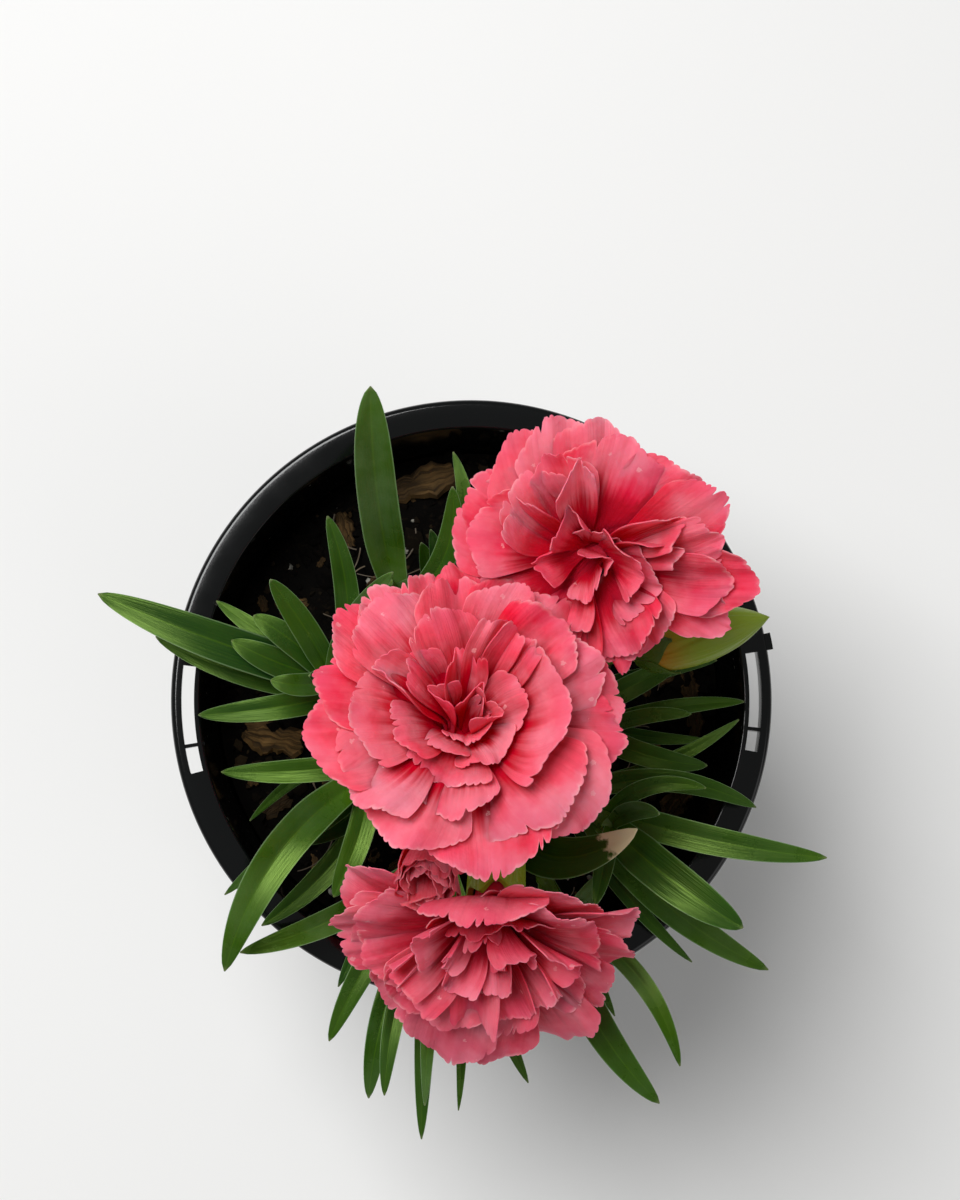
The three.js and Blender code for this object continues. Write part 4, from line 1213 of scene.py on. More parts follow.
def mix_height(mix, x, y):
    """Height of the mix's surface: gentle heaps and finer lumps, as two products of sines."""
    heaps = np.sin(x * 0.11 + 0.7) * np.cos(y * 0.09 - 0.4)
    lumps = np.sin(x * 0.37 + 1.3 * np.sin(y * 0.23)) * np.sin(y * 0.41 + 0.6)
    return mix.top + mix.relief / 2 * (heaps + lumps)


def make_mix(pot, mix, sides=200, rings=54):
    """The body of mix: flat bottom, straight side, and a rough surface of heaps that sinks towards
    the wall."""
    piece = Piece("potting_mix_body")
    edge = inside_radius(pot, mix.top) - mix.clearance
    bottom = pot.floor + 0.3
    drop, shoulder = 1.6, 5  # how far the surface sinks at the wall, and over what breadth
    radii = [0, inside_radius(pot, bottom) - mix.clearance, *np.linspace(edge, 0, rings)]
    outline = [(r, bottom if k < 2 else mix.top) for k, r in enumerate(radii)]

    def surface(radius, height, angle):
        x, y = radius * np.sin(angle), -radius * np.cos(angle)
        relief = mix_height(mix, x, y) + 0.5 * waves(x, y, 3, 9.0) + 0.25 * waves(x, y, 4, 2.6, 3)
        settled = relief - drop * smooth((radius - edge + shoulder) / shoulder)
        return radius, np.where(np.arange(len(radii))[:, None] < 2, height, settled)

    piece.add_turned(turned_rings(outline, sides, surface), tint=0.2)
    return piece


def scattered(edge, count, seed, roots, clear):
    """Random spots in a circle, even over its area and that far clear of the stems: [count, 2]."""
    rng = np.random.default_rng(seed)
    angle = rng.uniform(0, TAU, count * 3)
    radius = edge * np.sqrt(rng.uniform(0, 1, count * 3))
    spots = np.stack([radius * np.cos(angle), radius * np.sin(angle)], axis=1)
    away = np.linalg.norm(spots[:, None] - np.array(roots)[None], axis=2).min(axis=1)
    return spots[away > clear][:count]


ICO_RATIO = (1 + 5**0.5) / 2
ICO_CORNERS = [
    corner
    for a in (-1, 1)
    for b in (-ICO_RATIO, ICO_RATIO)
    for corner in ((a, b, 0), (0, a, b), (b, 0, a))
]
ICO_POINTS = unit(np.array(ICO_CORNERS, float))


def ico_faces():
    """The twenty triangles of the icosahedron: three points a shortest edge apart, facing out."""
    gap = np.linalg.norm(ICO_POINTS[:, None] - ICO_POINTS[None], axis=2)
    edge = gap[gap > 0.1].min()
    close = (gap > 0.1) & (gap < 1.01 * edge)
    faces = []
    for a, b, c in combinations(range(len(ICO_POINTS)), 3):
        if close[a, b] and close[b, c] and close[a, c]:
            p, q, r = ICO_POINTS[[a, b, c]]
            faces.append((a, b, c) if np.cross(q - p, r - p) @ p > 0 else (a, c, b))
    return np.array(faces)


def add_crumbs(piece, mix, spots, sizes, seed, flat=0.75, sink=0.25):
    """Twenty-sided crumbs: each point of the icosahedron is moved in or out by its own draw. flat is
    their height for their breadth, and sink how deep they lie, as a share of their size."""
    rng = np.random.default_rng(seed)
    count, corners = len(spots), len(ICO_POINTS)
    lumps = ICO_POINTS[None] * rng.uniform(0.6, 1.25, (count, corners, 1)) * sizes[:, None, None]
    stretch = rng.uniform([0.7, 0.7, flat * 0.7], [1.3, 1.3, flat * 1.2], (count, 3))
    lumps = lumps * stretch[:, None]
    turn = rng.uniform(0, TAU, count)
    c, s = np.cos(turn)[:, None], np.sin(turn)[:, None]
    x = lumps[..., 0] * c - lumps[..., 1] * s + spots[:, :1]
    y = lumps[..., 0] * s + lumps[..., 1] * c + spots[:, 1:]
    ground = mix_height(mix, spots[:, :1], spots[:, 1:]) + (0.5 - sink) * sizes[:, None] - 0.3
    points = np.stack([x, y, lumps[..., 2] + ground], axis=-1)
    faces = (ico_faces()[None] + corners * np.arange(count)[:, None, None]).reshape(-1, 3)
    tint = np.repeat(rng.uniform(0, 1, count) ** 2, corners)
    piece.add(points, faces, np.zeros((count * corners, 2)), tint=tint)


def add_chip(piece, mix, spot, length, width, turn, seed, thickness):
    """A bark chip: a bent slab with a ragged outline, thinning to its ends, half sunk in the mix."""
    t, q = np.linspace(-1, 1, 12)[:, None], np.linspace(-1, 1, 7)[None, :]
    ragged = 1 + 0.22 * np.sin(5 * t + seed) + 0.12 * np.sin(13 * t + 2 * seed + 2 * q)
    along = length / 2 * t * (1 + 0.08 * np.sin(4 * q + seed))
    across = width / 2 * q * ragged * (1 - 0.35 * t**4)
    bend = 0.05 * length * (1 - t * t) * np.cos(seed) + 0.12 * width * q * q
    lump = 0.25 * np.sin(9 * t + 3 * seed) * np.sin(4 * q + seed)
    a = np.radians(turn)
    x = spot[0] + along * np.cos(a) - across * np.sin(a)
    y = spot[1] + along * np.sin(a) + across * np.cos(a)
    slope = draw(seed, 1, -0.2, 0.2) * along + draw(seed, 2, -0.25, 0.25) * across
    z = mix_height(mix, spot[0], spot[1]) + 0.35 * thickness + bend + lump * thickness * 0.4 + slope
    body = thickness * (0.55 + 0.45 * (1 - t**2)) * (0.7 + 0.3 * (1 - q**2))
    grid = np.stack(np.broadcast_arrays(x, y, z), axis=-1)
    piece.add_blade(grid, body, q, (t + 1) / 2, tint=draw(seed, 3))


def make_chips(mix, edge, roots):
    """The listed chips and many small ones."""
    piece = Piece("bark_chips")
    for k, (x, y, length, width, turn) in enumerate(BARK_CHIPS):
        add_chip(piece, mix, (x, y), length, width, turn, k + 1, thickness=2.6)
    spots = scattered(edge - 4, mix.chips, 21, roots, 4)
    for k, spot in enumerate(spots):
        size = draw(k, 31, 2.2, 7.5)
        width, turn = size * draw(k, 32, 0.25, 0.6), draw(k, 33, 0, 360)
        add_chip(piece, mix, spot, size, width, turn, k + 20, thickness=0.22 * size)
    return piece


def make_fibres(mix, edge, roots):
    """Thin bent hairs that lie over the mix: a slow curl along a straight line, with raised ends."""
    piece = Piece("root_fibres")
    steps = 12
    t = np.linspace(0, 1, steps)
    for k, (x, y) in enumerate(scattered(edge - 8, mix.fibres, 41, roots, 3)):
        length, curl, turn = draw(k, 51, 5, 17), draw(k, 52, -2.2, 2.2), draw(k, 53, 0, TAU)
        heading = turn + curl * t
        px = x + length * np.cumsum(np.cos(heading)) / steps
        py = y + length * np.cumsum(np.sin(heading)) / steps
        reach = np.maximum(1, np.hypot(px, py) / (edge - 1))
        px, py = px / reach, py / reach
        pz = mix_height(mix, px, py) + 0.9 + 1.2 * np.sin(3 * t + k) ** 2
        add_tube(piece, np.stack([px, py, pz], axis=1), draw(k, 54, 0.09, 0.2), 5, tint=draw(k, 55))
    return piece


# ---------------------------------------------------------------- stems and leaves

LEAF, STEM = 0, 1  # the places of the two green materials on a piece


def stem_controls(root, end, arrive, soil):
    """Control points of a stem: straight up out of the mix, and along arrive at its end."""
    start = np.array([*root, soil], float)
    reach = np.linalg.norm(end - start)
    return [start, start + UP * reach * 0.38, end - arrive * reach * 0.3, end]


def shoot_lean(root, top):
    """Direction of a shoot's tip: outwards, and mostly up."""
    out = unit(np.array([top[0] - root[0], top[1] - root[1], 0.0]))
    return unit(0.45 * out + UP)


def add_stem(piece, controls, radius, depth, leaves, tint):
    """A stem with its peg in the mix. It tapers a little, and swells at each joint that bears leaves
    as a bell curve."""
    t = np.linspace(0, 1, 60)
    path = bezier(controls, t)
    peg = path[:1] - UP * np.linspace(depth, 1, 6)[:, None]
    shares, spread = {leaf[0] for leaf in leaves}, 0.018
    joints = sum(np.exp(-(((t - share) / spread) ** 2)) for share in shares)
    width = radius * (1.04 - 0.12 * t) * (1 + 0.3 * joints)
    full = np.concatenate([np.full(len(peg), radius), width])
    add_tube(piece, np.concatenate([peg, path]), full, 18, STEM, tint=tint)


def leaf_surface(node, leaf, foliage, seed):
    """A strap leaf's middle surface and thickness, with q across it and s along it.

    Along, its midline is the quadratic curve from the stem to the tip. Its half width swells over
    the first third. From two fifths on it narrows by one minus a power of the way from there to the
    tip, all to the power 0.6. Across, it is a shallow channel that opens towards the tip, with a
    groove along the midrib, and its edges wave and twist."""
    x, y, z, width, arch, sway, taper = leaf[1:]
    tip = np.array([x, y, z], float)
    out = unit(np.array([x - node[0], y - node[1], 0.0]))
    base = node + out * 0.5
    middle = base + (tip - base) * 0.45 + UP * arch + np.array([-out[1], out[0], 0.0]) * sway
    s = np.linspace(0, 1, foliage.leaf_rows + 1)[:, None] ** 0.92
    q = np.linspace(-1, 1, foliage.leaf_columns + 1)[None, :]
    along = unit((middle - base) * (1 - s) + (tip - middle) * s)
    side = unit(np.cross(UP - 0.3 * out, along))
    face = np.cross(along, side)
    swell = 0.7 + 0.3 * smooth(s / 0.32)
    narrowing = (1 - np.clip((s - 0.42) / 0.58, 0, 1) ** (taper + 0.25)) ** 0.6
    half = np.maximum(0.16, width / 2 * swell * narrowing)
    ridge = np.sqrt(q * q + 0.012) - 0.5
    channel = 0.46 * (1 - 0.5 * s) * half * ridge
    groove = -0.14 * np.exp(-((q / 0.09) ** 2)) * (1 - s)
    ripple = 0.035 * half * q * q * np.sin(TAU * (s * draw(seed, 1, 1.5, 3) + draw(seed, 2)) + 2 * q)
    twist = draw(seed, 3, -0.1, 0.1) * half * q * s
    midline = bezier([base, middle, tip], s[:, 0])[:, None]
    lift = (channel + groove + ripple + twist)[..., None]
    grid = midline + side[:, None] * (q * half)[..., None] + face[:, None] * lift
    body = foliage.leaf_thickness * (0.3 + 0.7 * (1 - q**4)) * (1 - 0.45 * s)
    return grid, body, q, s


def add_leaves(piece, curve, leaves, foliage, seed, withered=None):
    """The leaves of one stem. Each has its own tone, and the lowest ones are the darkest. The
    withered one dries over its last fifth."""
    for k, leaf in enumerate(leaves):
        node = bezier(curve, np.array([float(leaf[0])]))[0]
        grid, body, q, s = leaf_surface(node, leaf, foliage, seed * 20 + k)
        if k == withered:
            tone, dry = 0.5, smooth((s - 0.78) / 0.2)
        else:
            tone, dry = np.clip(0.25 + 0.6 * leaf[0] + draw(seed, k, -0.4, 0.35), 0, 1), 0.0
        piece.add_blade(grid, body, q, s, LEAF, tint=tone, dry=dry)


def make_shoot(name, shoot, foliage, soil, seed, materials):
    """A leafy shoot: its stem and strap leaves."""
    piece = Piece(name + "_leaves")
    top = np.array(shoot["top"], float)
    curve = stem_controls(shoot["root"], top, shoot_lean(shoot["root"], top), soil)
    add_stem(piece, curve, foliage.shoot_radius, foliage.root_depth, shoot["leaves"], 0.6)
    add_leaves(piece, curve, shoot["leaves"], foliage, seed)
    return piece.make(materials, "leaf_green", [name])


def add_calyx(piece, flower, calyx):
    """A tubular calyx: ribbed outside, five pointed teeth round its mouth, a cup inside, and four
    short scales that clasp its foot. The ribs and the teeth are cosines round it."""
    length, radius, cup = calyx["length"], calyx["radius"], calyx["cup"]
    body = [
        (0, -length - 1),
        (2.2, -length - 0.6),
        (radius * 0.76, -length * 0.9),
        (radius * 0.97, -length * 0.72),
        (radius * 0.98, -length * 0.5),
        (radius, -length * 0.3),
        (radius * 1.02, -1.2),
        (radius, 0),
    ]
    inside = [
        (cup, 0),
        (cup, -2),
        (cup * 0.9, -length * 0.3),
        (cup * 0.84, -length / 2),
        (0, -length / 2),
    ]
    outer = rounded(body, 5)
    outline = np.concatenate([outer, inside])
    near_mouth = smooth((outline[:, 1:] + 4) / 4)
    is_outside = (np.arange(len(outline)) < len(outer))[:, None]
    teeth, ribs, notch_depth = 5, 35, 2.6

    def moulded(r, z, angle):
        notch = (0.5 - 0.5 * np.cos(teeth * angle)) ** 0.8
        proud = 1 + 0.012 * np.cos(ribs * angle) * is_outside
        return r * proud, z - notch_depth * notch * near_mouth

    seat, face = flower["seat"], flower["face"]
    rings = placed(turned_rings(outline, 140, moulded), seat, face)
    # the calyx takes the full lighter bud green, partly as painted light
    piece.add_turned(rings, STEM, 1 + outline[:, 1:] / (length + 1), tint=0.75, fresh=1.0)
    add_scales(piece, seat, face, body, (-length - 0.4, -length * 0.6))


def add_scales(piece, seat, face, body, heights, count=4):
    """Pointed scales that lie close round a calyx's foot: each is a patch of the body's own skin,
    a little proud of it, whose width narrows to a point."""
    low, high = heights
    t, q = np.linspace(0, 1, 14)[:, None], np.linspace(-1, 1, 9)[None, :]
    body = np.array(sorted(body, key=lambda point: point[1]))
    for k in range(count):
        top = high + (high - low) * draw(k, 7, -0.12, 0.05)
        z = low + (top - low) * t + 0 * q
        spread = np.radians(56) * (1 - smooth((t - 0.35) / 0.65) * 0.97)
        angle = TAU * k / count + spread * q
        skin = np.interp(z, body[:, 1], body[:, 0])
        radius = skin + 0.3 + 0.22 * (k % 2) + 0.9 * t**3 * (1 - q * q) * 0.4
        points = np.stack([radius * np.sin(angle), -radius * np.cos(angle), z], axis=-1)[:, ::-1]
        piece.add_blade(placed(points, seat, face), 0.35, q, t, STEM, tint=0.45)


def calyx_foot(flower, calyx):
    """Centre of a calyx's foot."""
    return np.array(flower["seat"], float) - calyx["length"] * unit(np.array(flower["face"], float))


def make_flower_stem(name, stem, foliage, soil, seed, materials):
    """A flowering stem with its leaves and calyx, and the centre one's side branch."""
    piece = Piece(name + "_green")
    bloom = BLOOMS[stem["bloom"]]
    curve = stem_controls(stem["root"], calyx_foot(bloom, CALYX), unit(np.array(bloom["face"])), soil)
    add_stem(piece, curve, foliage.flower_radius, foliage.root_depth, stem["leaves"], 0.7)
    add_calyx(piece, bloom, CALYX)
    withered = WITHERED_LEAF[1] if WITHERED_LEAF[0] == name else None
    add_leaves(piece, curve, stem["leaves"], foliage, seed, withered=withered)
    if name == "flower_stem_centre":
        start = bezier(curve, np.array([BRANCH_FROM]))[0]
        foot = calyx_foot(OPENING_BUD, SMALL_CALYX)
        face = unit(np.array(OPENING_BUD["face"]))
        path = bezier([start, start + UP * 7, foot - face * 6, foot], np.linspace(0, 1, 24))
        add_tube(piece, path, foliage.branch_radius, 14, STEM, tint=0.7)
        add_calyx(piece, OPENING_BUD, SMALL_CALYX)
    return piece.make(materials, "stem_green", [name])


def make_bud_stem(foliage, soil, seed, materials):
    """The stem of the closed bud: a plump pointed bud with five folded seams, clasped by scales. The
    seams are narrow dips of its radius that wind slowly round it."""
    piece = Piece("bud_stem_green")
    foot, face = np.array(CLOSED_BUD["foot"], float), unit(np.array(CLOSED_BUD["face"]))
    length, radius = CLOSED_BUD["length"], CLOSED_BUD["radius"]
    curve = stem_controls(BUD_STEM["root"], foot, face, soil)
    add_stem(piece, curve, foliage.flower_radius, foliage.root_depth, BUD_STEM["leaves"], 0.7)
    add_leaves(piece, curve, BUD_STEM["leaves"], foliage, seed)
    body = [
        (0, -1),
        (2, -0.4),
        (radius * 0.78, length * 0.1),
        (radius * 0.97, length * 0.26),
        (radius, length * 0.42),
        (radius * 0.92, length * 0.58),
        (radius * 0.68, length * 0.76),
        (radius * 0.34, length * 0.9),
        (0, length),
    ]
    outline = rounded(body, 6)
    share = outline[:, 1:] / length
    seams, depth = 5, 0.035  # how many, and how deep for the radius

    def seamed(r, z, angle):
        fold = np.abs(np.sin(seams / 2 * (angle + 0.9 * share)))
        return r * (1 + depth * smooth(fold / 0.35) - depth), z

    sides = 120
    rings = placed(turned_rings(outline, sides, seamed), foot, face)
    angle = np.linspace(0, TAU, sides + 1)[None, :]
    patch = 0.5 + 0.5 * np.cos(angle - 3.6)
    blush = 0.75 * smooth((0.5 - share) / 0.4) * smooth(share / 0.12) * patch**2
    # the closed bud turns towards the lighter bud green, partly as painted light
    piece.add_turned(rings, STEM, share, tint=0.95, blush=blush, fresh=0.65)
    add_scales(piece, foot, face, body, (0.2, length * 0.3))
    return piece.make(materials, "stem_green", ["bud_stem"])


# ---------------------------------------------------------------- petals

CLAW_SLOPE = 84  # degrees by which every petal stands up where it leaves the calyx


def toothed_edge(petals, width, seed):
    """Columns across a petal, each with its notch depth in millimetres. Teeth are of uneven width
    and blunt: the edge falls only close to a notch. Most notches are shallow, and here and there one
    is deep."""
    teeth = max(4, int(round(petals.teeth * min(1.0, width / 24))))
    k = np.arange(teeth + 1)
    notch = -1 + 2 * (k + draw(seed, k, -0.32, 0.32)) / teeth
    notch[0], notch[-1] = -1, 1
    depth = petals.tooth_depth * (0.3 + 0.5 * draw(seed + 5, k) + 2.2 * (draw(seed + 9, k) > 0.88))
    tooth = notch[1:] - notch[:-1]
    columns = [notch, *(notch[:-1] + share * tooth for share in (0.22, 0.5, 0.78))]
    cuts = [depth, 0.25 * depth[:-1], 0 * depth[:-1], 0.25 * depth[1:]]
    columns, cuts = np.concatenate(columns), np.concatenate(cuts)
    order = np.argsort(columns)
    return columns[order], cuts[order]


def petal_surface(petal, petals, seed, ruffle):
    """A petal's middle surface in the bloom's own space and its thickness, with q across it and s
    along it.

    Its midline leaves the claw nearly upright and bends towards its own lift as an exponential. Its
    slope turns by the bend with the square of the way out, and curls over the last fifth. The half
    width swells from the claw to its full size at four fifths, and the edge falls back from the
    middle with the power 2.3 of the way across. Off the midline the surface rises by a cup (square
    of the way across), a fold (distance from the middle), a roll (the way across) and waves that
    grow towards the toothed edge."""
    azimuth, length, width, lift, bend, cup, fold = petal
    q, cut = toothed_edge(petals, width, seed)
    q = q[None, :]
    s = np.linspace(0, 1, petals.rows + 1)[:, None] ** 0.85
    fall = draw(seed, 8, 0.2, 0.36) * (1 - min(0.7, 1.2 * fold))
    edge = 1 - fall * np.abs(q) ** 2.3 + 0.02 * np.cos(TAU * q + draw(seed, 7, -1, 1)) - cut / length
    run = s * edge
    steps = (np.arange(16) + 0.5) / 16
    share = run[..., None] * steps
    curl = draw(seed, 9, -34, 14)
    angle = np.radians(bent(share, lift, bend, curl))
    claw = 3.7 - 2.7 * min(1.0, lift / 80)  # the steepest petals start closest to the axis
    r = claw + length * run * np.cos(angle).mean(axis=-1)
    z = length * run * np.sin(angle).mean(axis=-1)
    end = np.radians(bent(run, lift, bend, curl))
    half = width / 2 * (0.08 + 0.92 * smooth(run / 0.8) ** 0.9)
    cycles = draw(seed, 10, 0.8, 1.5)
    broad = run**2 * np.sin(np.pi * cycles * q + draw(seed, 11, 0, TAU))
    finer = run**4 * np.sin(np.pi * (2.3 * cycles + 0.6) * q + draw(seed, 12, 0, TAU) + run)
    crinkle = run**9 * np.sin(np.pi * 6.5 * q + draw(seed, 13, 0, TAU))
    crinkle = crinkle * np.sin(2 * q + draw(seed, 14, 0, TAU))
    size = ruffle * np.sqrt(half / 11)
    wave = size * (1.25 * broad + 0.5 * finer) + 0.22 * ruffle * crinkle
    roll = (0.8 * np.minimum(1, 6 * run) + draw(seed, 15, -0.02, 0.24) * half * run) * q
    middle = draw(seed, 20, -0.2, 0.2)
    crease = fold * half * (np.sqrt((q - middle) ** 2 + 0.03) - 0.35) * run**0.7
    rise = cup * half * q * q * run + wave + roll + crease
    swing = np.radians(azimuth) + np.radians(draw(seed, 21, -8, 8)) * run**2
    out = r - rise * np.sin(end)
    side = q * half * (1 - min(0.5, 0.3 * fold) * run)
    x = out * np.cos(swing) - side * np.sin(swing)
    y = out * np.sin(swing) + side * np.cos(swing)
    grid = np.stack([x, y, z + rise * np.cos(end)], axis=-1)
    body = petals.thickness * (1 - 0.62 * run)
    return grid, body, q, s


def bent(share, lift, bend, curl):
    """Slope of a petal's midline in degrees, that share of the way out: it falls from the claw's
    slope to lift, turns by bend with the square of the share, and curls over the last fifth."""
    slope = lift + (CLAW_SLOPE - lift) * np.exp(-6 * share)
    return slope + bend * share**2 + curl * smooth((share - 0.8) / 0.25)


def painted_shade_between_petals(petals, k, grid):
    """How deep petal k lies between the petals over it, from 0 to 1: full under each inner petal's
    reach, and gone 8 mm outside it. A petal's reach falls back from its middle with the square of
    the way across. The petal's colour turns towards the claw's red by it, as painted shade."""
    fade = 8
    angle = np.arctan2(grid[..., 1], grid[..., 0])
    radius = np.hypot(grid[..., 0], grid[..., 1])
    cover = np.zeros_like(radius)
    for azimuth, length, width, lift, *_ in petals[k + 1 :]:
        reach = 3 + length * np.cos(np.radians(lift))
        turn = (angle - np.radians(azimuth) + np.pi) % TAU - np.pi
        across = turn * reach * 0.8 / (width / 2)
        inside = (np.abs(across) < 1.2) * (lift > petals[k][3])
        cover = np.maximum(cover, reach * (1 - 0.3 * across**2) * inside)
    return smooth((cover + fade - radius) / fade)


def make_petals(name, bloom, calyx, petals, materials, slot, ruffle):
    """All the petals of one flower, and the plug of claws that stands in its calyx."""
    seat, face, dusk = bloom["seat"], bloom["face"], bloom["dusk"]
    piece = Piece(name + "_petals")
    for k, petal in enumerate(bloom["petals"]):
        seed = bloom["seed"] * 7 + k
        amount = ruffle * draw(seed, 6, 0.7, 1.3)
        grid, body, q, s = petal_surface(petal, petals, seed, amount)
        # painted shade: how deep each point lies under the petals over it, read by the petal material
        sunk = painted_shade_between_petals(bloom["petals"], k, grid)
        height = np.maximum(grid[..., 2:], 0)
        grid[..., :2] += smooth(height / 5) * np.array(bloom["shift"]) + height * np.array(bloom["lean"])
        traits = dict(tint=draw(seed, 30), dusk=dusk, steep=smooth(petal[3] / 70), sunk=sunk)
        piece.add_blade(placed(grid, seat, face), body, q, s, **traits)
    radius, bottom = calyx["cup"] - 0.5, 0.5 - calyx["length"] / 2
    plug = [(0, bottom), (radius * 0.76, bottom + 0.1), (radius, -2.6), (radius, 1), (0, 1.8)]
    rings = placed(turned_rings(rounded(plug, 3), 32), seat, face)
    # the plug of claws takes the full painted shade
    piece.add_turned(rings, v=0.0, tint=0.5, dusk=dusk, steep=1.0, sunk=1.0)
    return piece.make(materials, slot, [name], sharp=75)


# ---------------------------------------------------------------- operators

PICTURE_HEIGHT = 36  # millimetres, which the lens is given for
PLANT_MIDDLE = (0, 0, 0.15)  # metres


def shader_groups():
    """Builds the shared shader groups, unless they are there."""
    if "Streaks" not in bpy.data.node_groups:
        for build in (streak_group, mottle_group, speck_group, wax_group):
            build()


def green_materials(foliage):
    """The leaf and stem materials, made at first use."""
    if "strap_leaf" not in bpy.data.materials:
        leaf_material(foliage)
        stem_material(foliage)
    return [bpy.data.materials["strap_leaf"], bpy.data.materials["stem_skin"]]


def all_roots():
    """Where every stem leaves the mix."""
    return [stem["root"] for stem in (*SHOOTS.values(), *FLOWER_STEMS.values(), BUD_STEM)]


class DIANTHUS_OT_stage(bpy.types.Operator):
    """Floor, soft studio light and the camera"""

    bl_idname = "dianthus.stage"
    bl_label = "Stage"

    def execute(self, context):
        studio = context.scene.dianthus_studio
        scene = context.scene
        mesh = bpy.data.meshes.new("studio_floor")
        reach = 3.0
        corners = [(-reach, -reach, 0), (reach, -reach, 0), (reach, reach, 0), (-reach, reach, 0)]
        mesh.from_pydata(corners, [], [(0, 1, 2, 3)])
        mesh.materials.append(plain_material("studio_floor", studio.floor_colour, roughness=0.8))
        floor = linked("studio_floor", mesh)
        world = bpy.data.worlds.new("studio_light")
        world.use_nodes = True
        sky = world.node_tree.nodes["Background"].inputs
        sky["Color"].default_value = (1, 1, 1, 1)
        sky["Strength"].default_value = studio.sky
        scene.world = world
        self.light("key", (-0.45, 0.42, 1.32), 0.7, studio.key)
        self.light("fill", (0.9, -0.6, 0.9), 1.0, studio.fill)
        camera = bpy.data.cameras.new("camera")
        camera.sensor_fit = "VERTICAL"
        camera.sensor_height = PICTURE_HEIGHT
        camera.lens = studio.lens
        camera.clip_start = 0.01
        viewer = linked("camera", camera)
        viewer.matrix_world = self.looking(Vector(studio.camera), Vector(studio.target))
        scene.camera = viewer
        scene.view_settings.view_transform = "Standard"
        return {"FINISHED"}

    @staticmethod
    def looking(place, target):
        """The turn and place of a camera that looks at a target with the plant's +Y upwards."""
        look = (target - place).normalized()
        right = look.cross(Vector((0, 1, 0))).normalized()
        turn = Matrix((right, right.cross(look), -look)).transposed()
        return Matrix.Translation(place) @ turn.to_4x4()

    @staticmethod
    def light(name, place, size, power):
        """A square area light that looks at the middle of the plant."""
        lamp = bpy.data.lights.new(name, "AREA")
        lamp.size = size
        lamp.energy = power
        holder = linked(name, lamp)
        holder.location = place
        look = Vector(PLANT_MIDDLE) - Vector(place)
        holder.rotation_euler = look.to_track_quat("-Z", "Y").to_euler()


class DIANTHUS_OT_pot(bpy.types.Operator):
    """The nursery pot"""

    bl_idname = "dianthus.pot"
    bl_label = "Nursery pot"

    def execute(self, context):
        shader_groups()
        make_pot(context.scene.dianthus_pot)
        return {"FINISHED"}


class DIANTHUS_OT_mix(bpy.types.Operator):
    """The potting mix with its crumbs, bark chips, mineral grains and root hairs"""

    bl_idname = "dianthus.mix"
    bl_label = "Potting mix"

    def execute(self, context):
        shader_groups()
        pot, mix = context.scene.dianthus_pot, context.scene.dianthus_mix
        edge = inside_radius(pot, mix.top) - mix.clearance
        roots = all_roots()
        body = make_mix(pot, mix)
        rng = np.random.default_rng(11)
        spots = scattered(edge - 2, mix.crumbs, 12, roots, 2.4)
        add_crumbs(body, mix, spots, rng.gamma(2.0, 0.33, len(spots)) + 0.3, 13)
        body.make([mix_material(mix)], "potting_mix", ["potting_mix"], sharp=50)
        make_chips(mix, edge, roots).make([bark_material(mix)], "potting_mix", sharp=40)
        grains = Piece("mineral_grains")
        spots = scattered(edge - 2, mix.grains, 14, roots, 3)
        add_crumbs(grains, mix, spots, rng.uniform(0.35, 1.0, len(spots)), 15, flat=0.9, sink=0.0)
        grains.make([grain_material(mix)], "potting_mix", sharp=50)
        make_fibres(mix, edge, roots).make([fibre_material(mix)], "potting_mix")
        return {"FINISHED"}


class DIANTHUS_OT_shoots(bpy.types.Operator):
    """The seven leafy shoots"""

    bl_idname = "dianthus.shoots"
    bl_label = "Leafy shoots"

    def execute(self, context):
        shader_groups()
        foliage, soil = context.scene.dianthus_foliage, context.scene.dianthus_mix.top
        materials = green_materials(foliage)
        for seed, (name, shoot) in enumerate(SHOOTS.items()):
            make_shoot(name, shoot, foliage, soil, seed, materials)
        return {"FINISHED"}


class DIANTHUS_OT_stems(bpy.types.Operator):
    """The flowering stems with their calyces, and the stem with the closed bud"""

    bl_idname = "dianthus.stems"
    bl_label = "Flowering stems"

    def execute(self, context):
        shader_groups()
        foliage, soil = context.scene.dianthus_foliage, context.scene.dianthus_mix.top
        materials = green_materials(foliage)
        for seed, (name, stem) in enumerate(FLOWER_STEMS.items()):
            make_flower_stem(name, stem, foliage, soil, seed + 10, materials)
        make_bud_stem(foliage, soil, 14, materials)
        return {"FINISHED"}


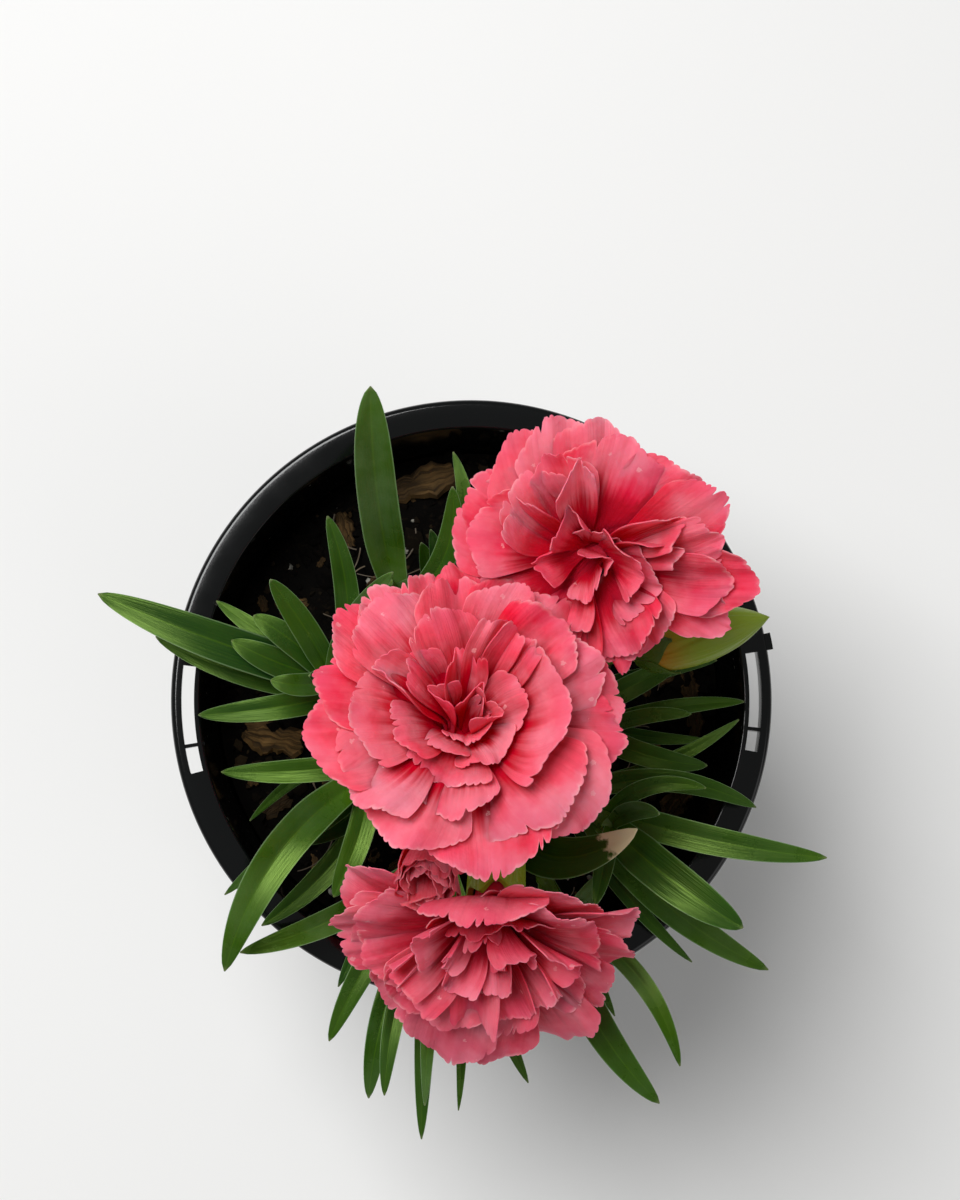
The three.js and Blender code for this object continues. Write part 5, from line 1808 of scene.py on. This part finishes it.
class DIANTHUS_OT_blooms(bpy.types.Operator):
    """The petals of the three blooms and of the opening bud"""

    bl_idname = "dianthus.blooms"
    bl_label = "Blooms"

    def execute(self, context):
        shader_groups()
        petals = context.scene.dianthus_petals
        grown = petal_material(petals, "grown_petal", deepen=0.0)
        for name, bloom in BLOOMS.items():
            make_petals(name, bloom, CALYX, petals, [grown], "petal_pink", ruffle=1.1)
        young = petal_material(petals, "young_petal", deepen=0.5)
        bud = "opening_bud_petals"
        make_petals(bud, OPENING_BUD, SMALL_CALYX, petals, [young], "bud_pink", ruffle=0.8)
        return {"FINISHED"}


class DIANTHUS_PT_panel(bpy.types.Panel):
    """Lists the pieces in the order in which they are made, and their settings"""

    bl_label = "Dianthus"
    bl_idname = "DIANTHUS_PT_panel"
    bl_space_type = "VIEW_3D"
    bl_region_type = "UI"
    bl_category = "Dianthus"

    def draw(self, context):
        for operator in OPERATORS:
            self.layout.operator(operator.bl_idname)
        for name in SETTINGS:
            box = self.layout.box()
            group = getattr(context.scene, name)
            for field in group.bl_rna.properties.keys():
                if field not in ("rna_type", "name"):
                    box.prop(group, field)


OPERATORS = (
    DIANTHUS_OT_stage,
    DIANTHUS_OT_pot,
    DIANTHUS_OT_mix,
    DIANTHUS_OT_shoots,
    DIANTHUS_OT_stems,
    DIANTHUS_OT_blooms,
)
SETTINGS = {
    "dianthus_pot": DIANTHUS_PG_pot,
    "dianthus_mix": DIANTHUS_PG_mix,
    "dianthus_foliage": DIANTHUS_PG_foliage,
    "dianthus_petals": DIANTHUS_PG_petals,
    "dianthus_studio": DIANTHUS_PG_studio,
}


def register():
    for kind in (*SETTINGS.values(), *OPERATORS, DIANTHUS_PT_panel):
        bpy.utils.register_class(kind)
    for name, kind in SETTINGS.items():
        setattr(bpy.types.Scene, name, bpy.props.PointerProperty(type=kind))


def unregister():
    for name in SETTINGS:
        delattr(bpy.types.Scene, name)
    for kind in (DIANTHUS_PT_panel, *reversed(OPERATORS), *SETTINGS.values()):
        bpy.utils.unregister_class(kind)


def main():
    register()
    for operator in OPERATORS:
        group, name = operator.bl_idname.split(".")
        getattr(getattr(bpy.ops, group), name)()


if __name__ == "__main__":
    main()
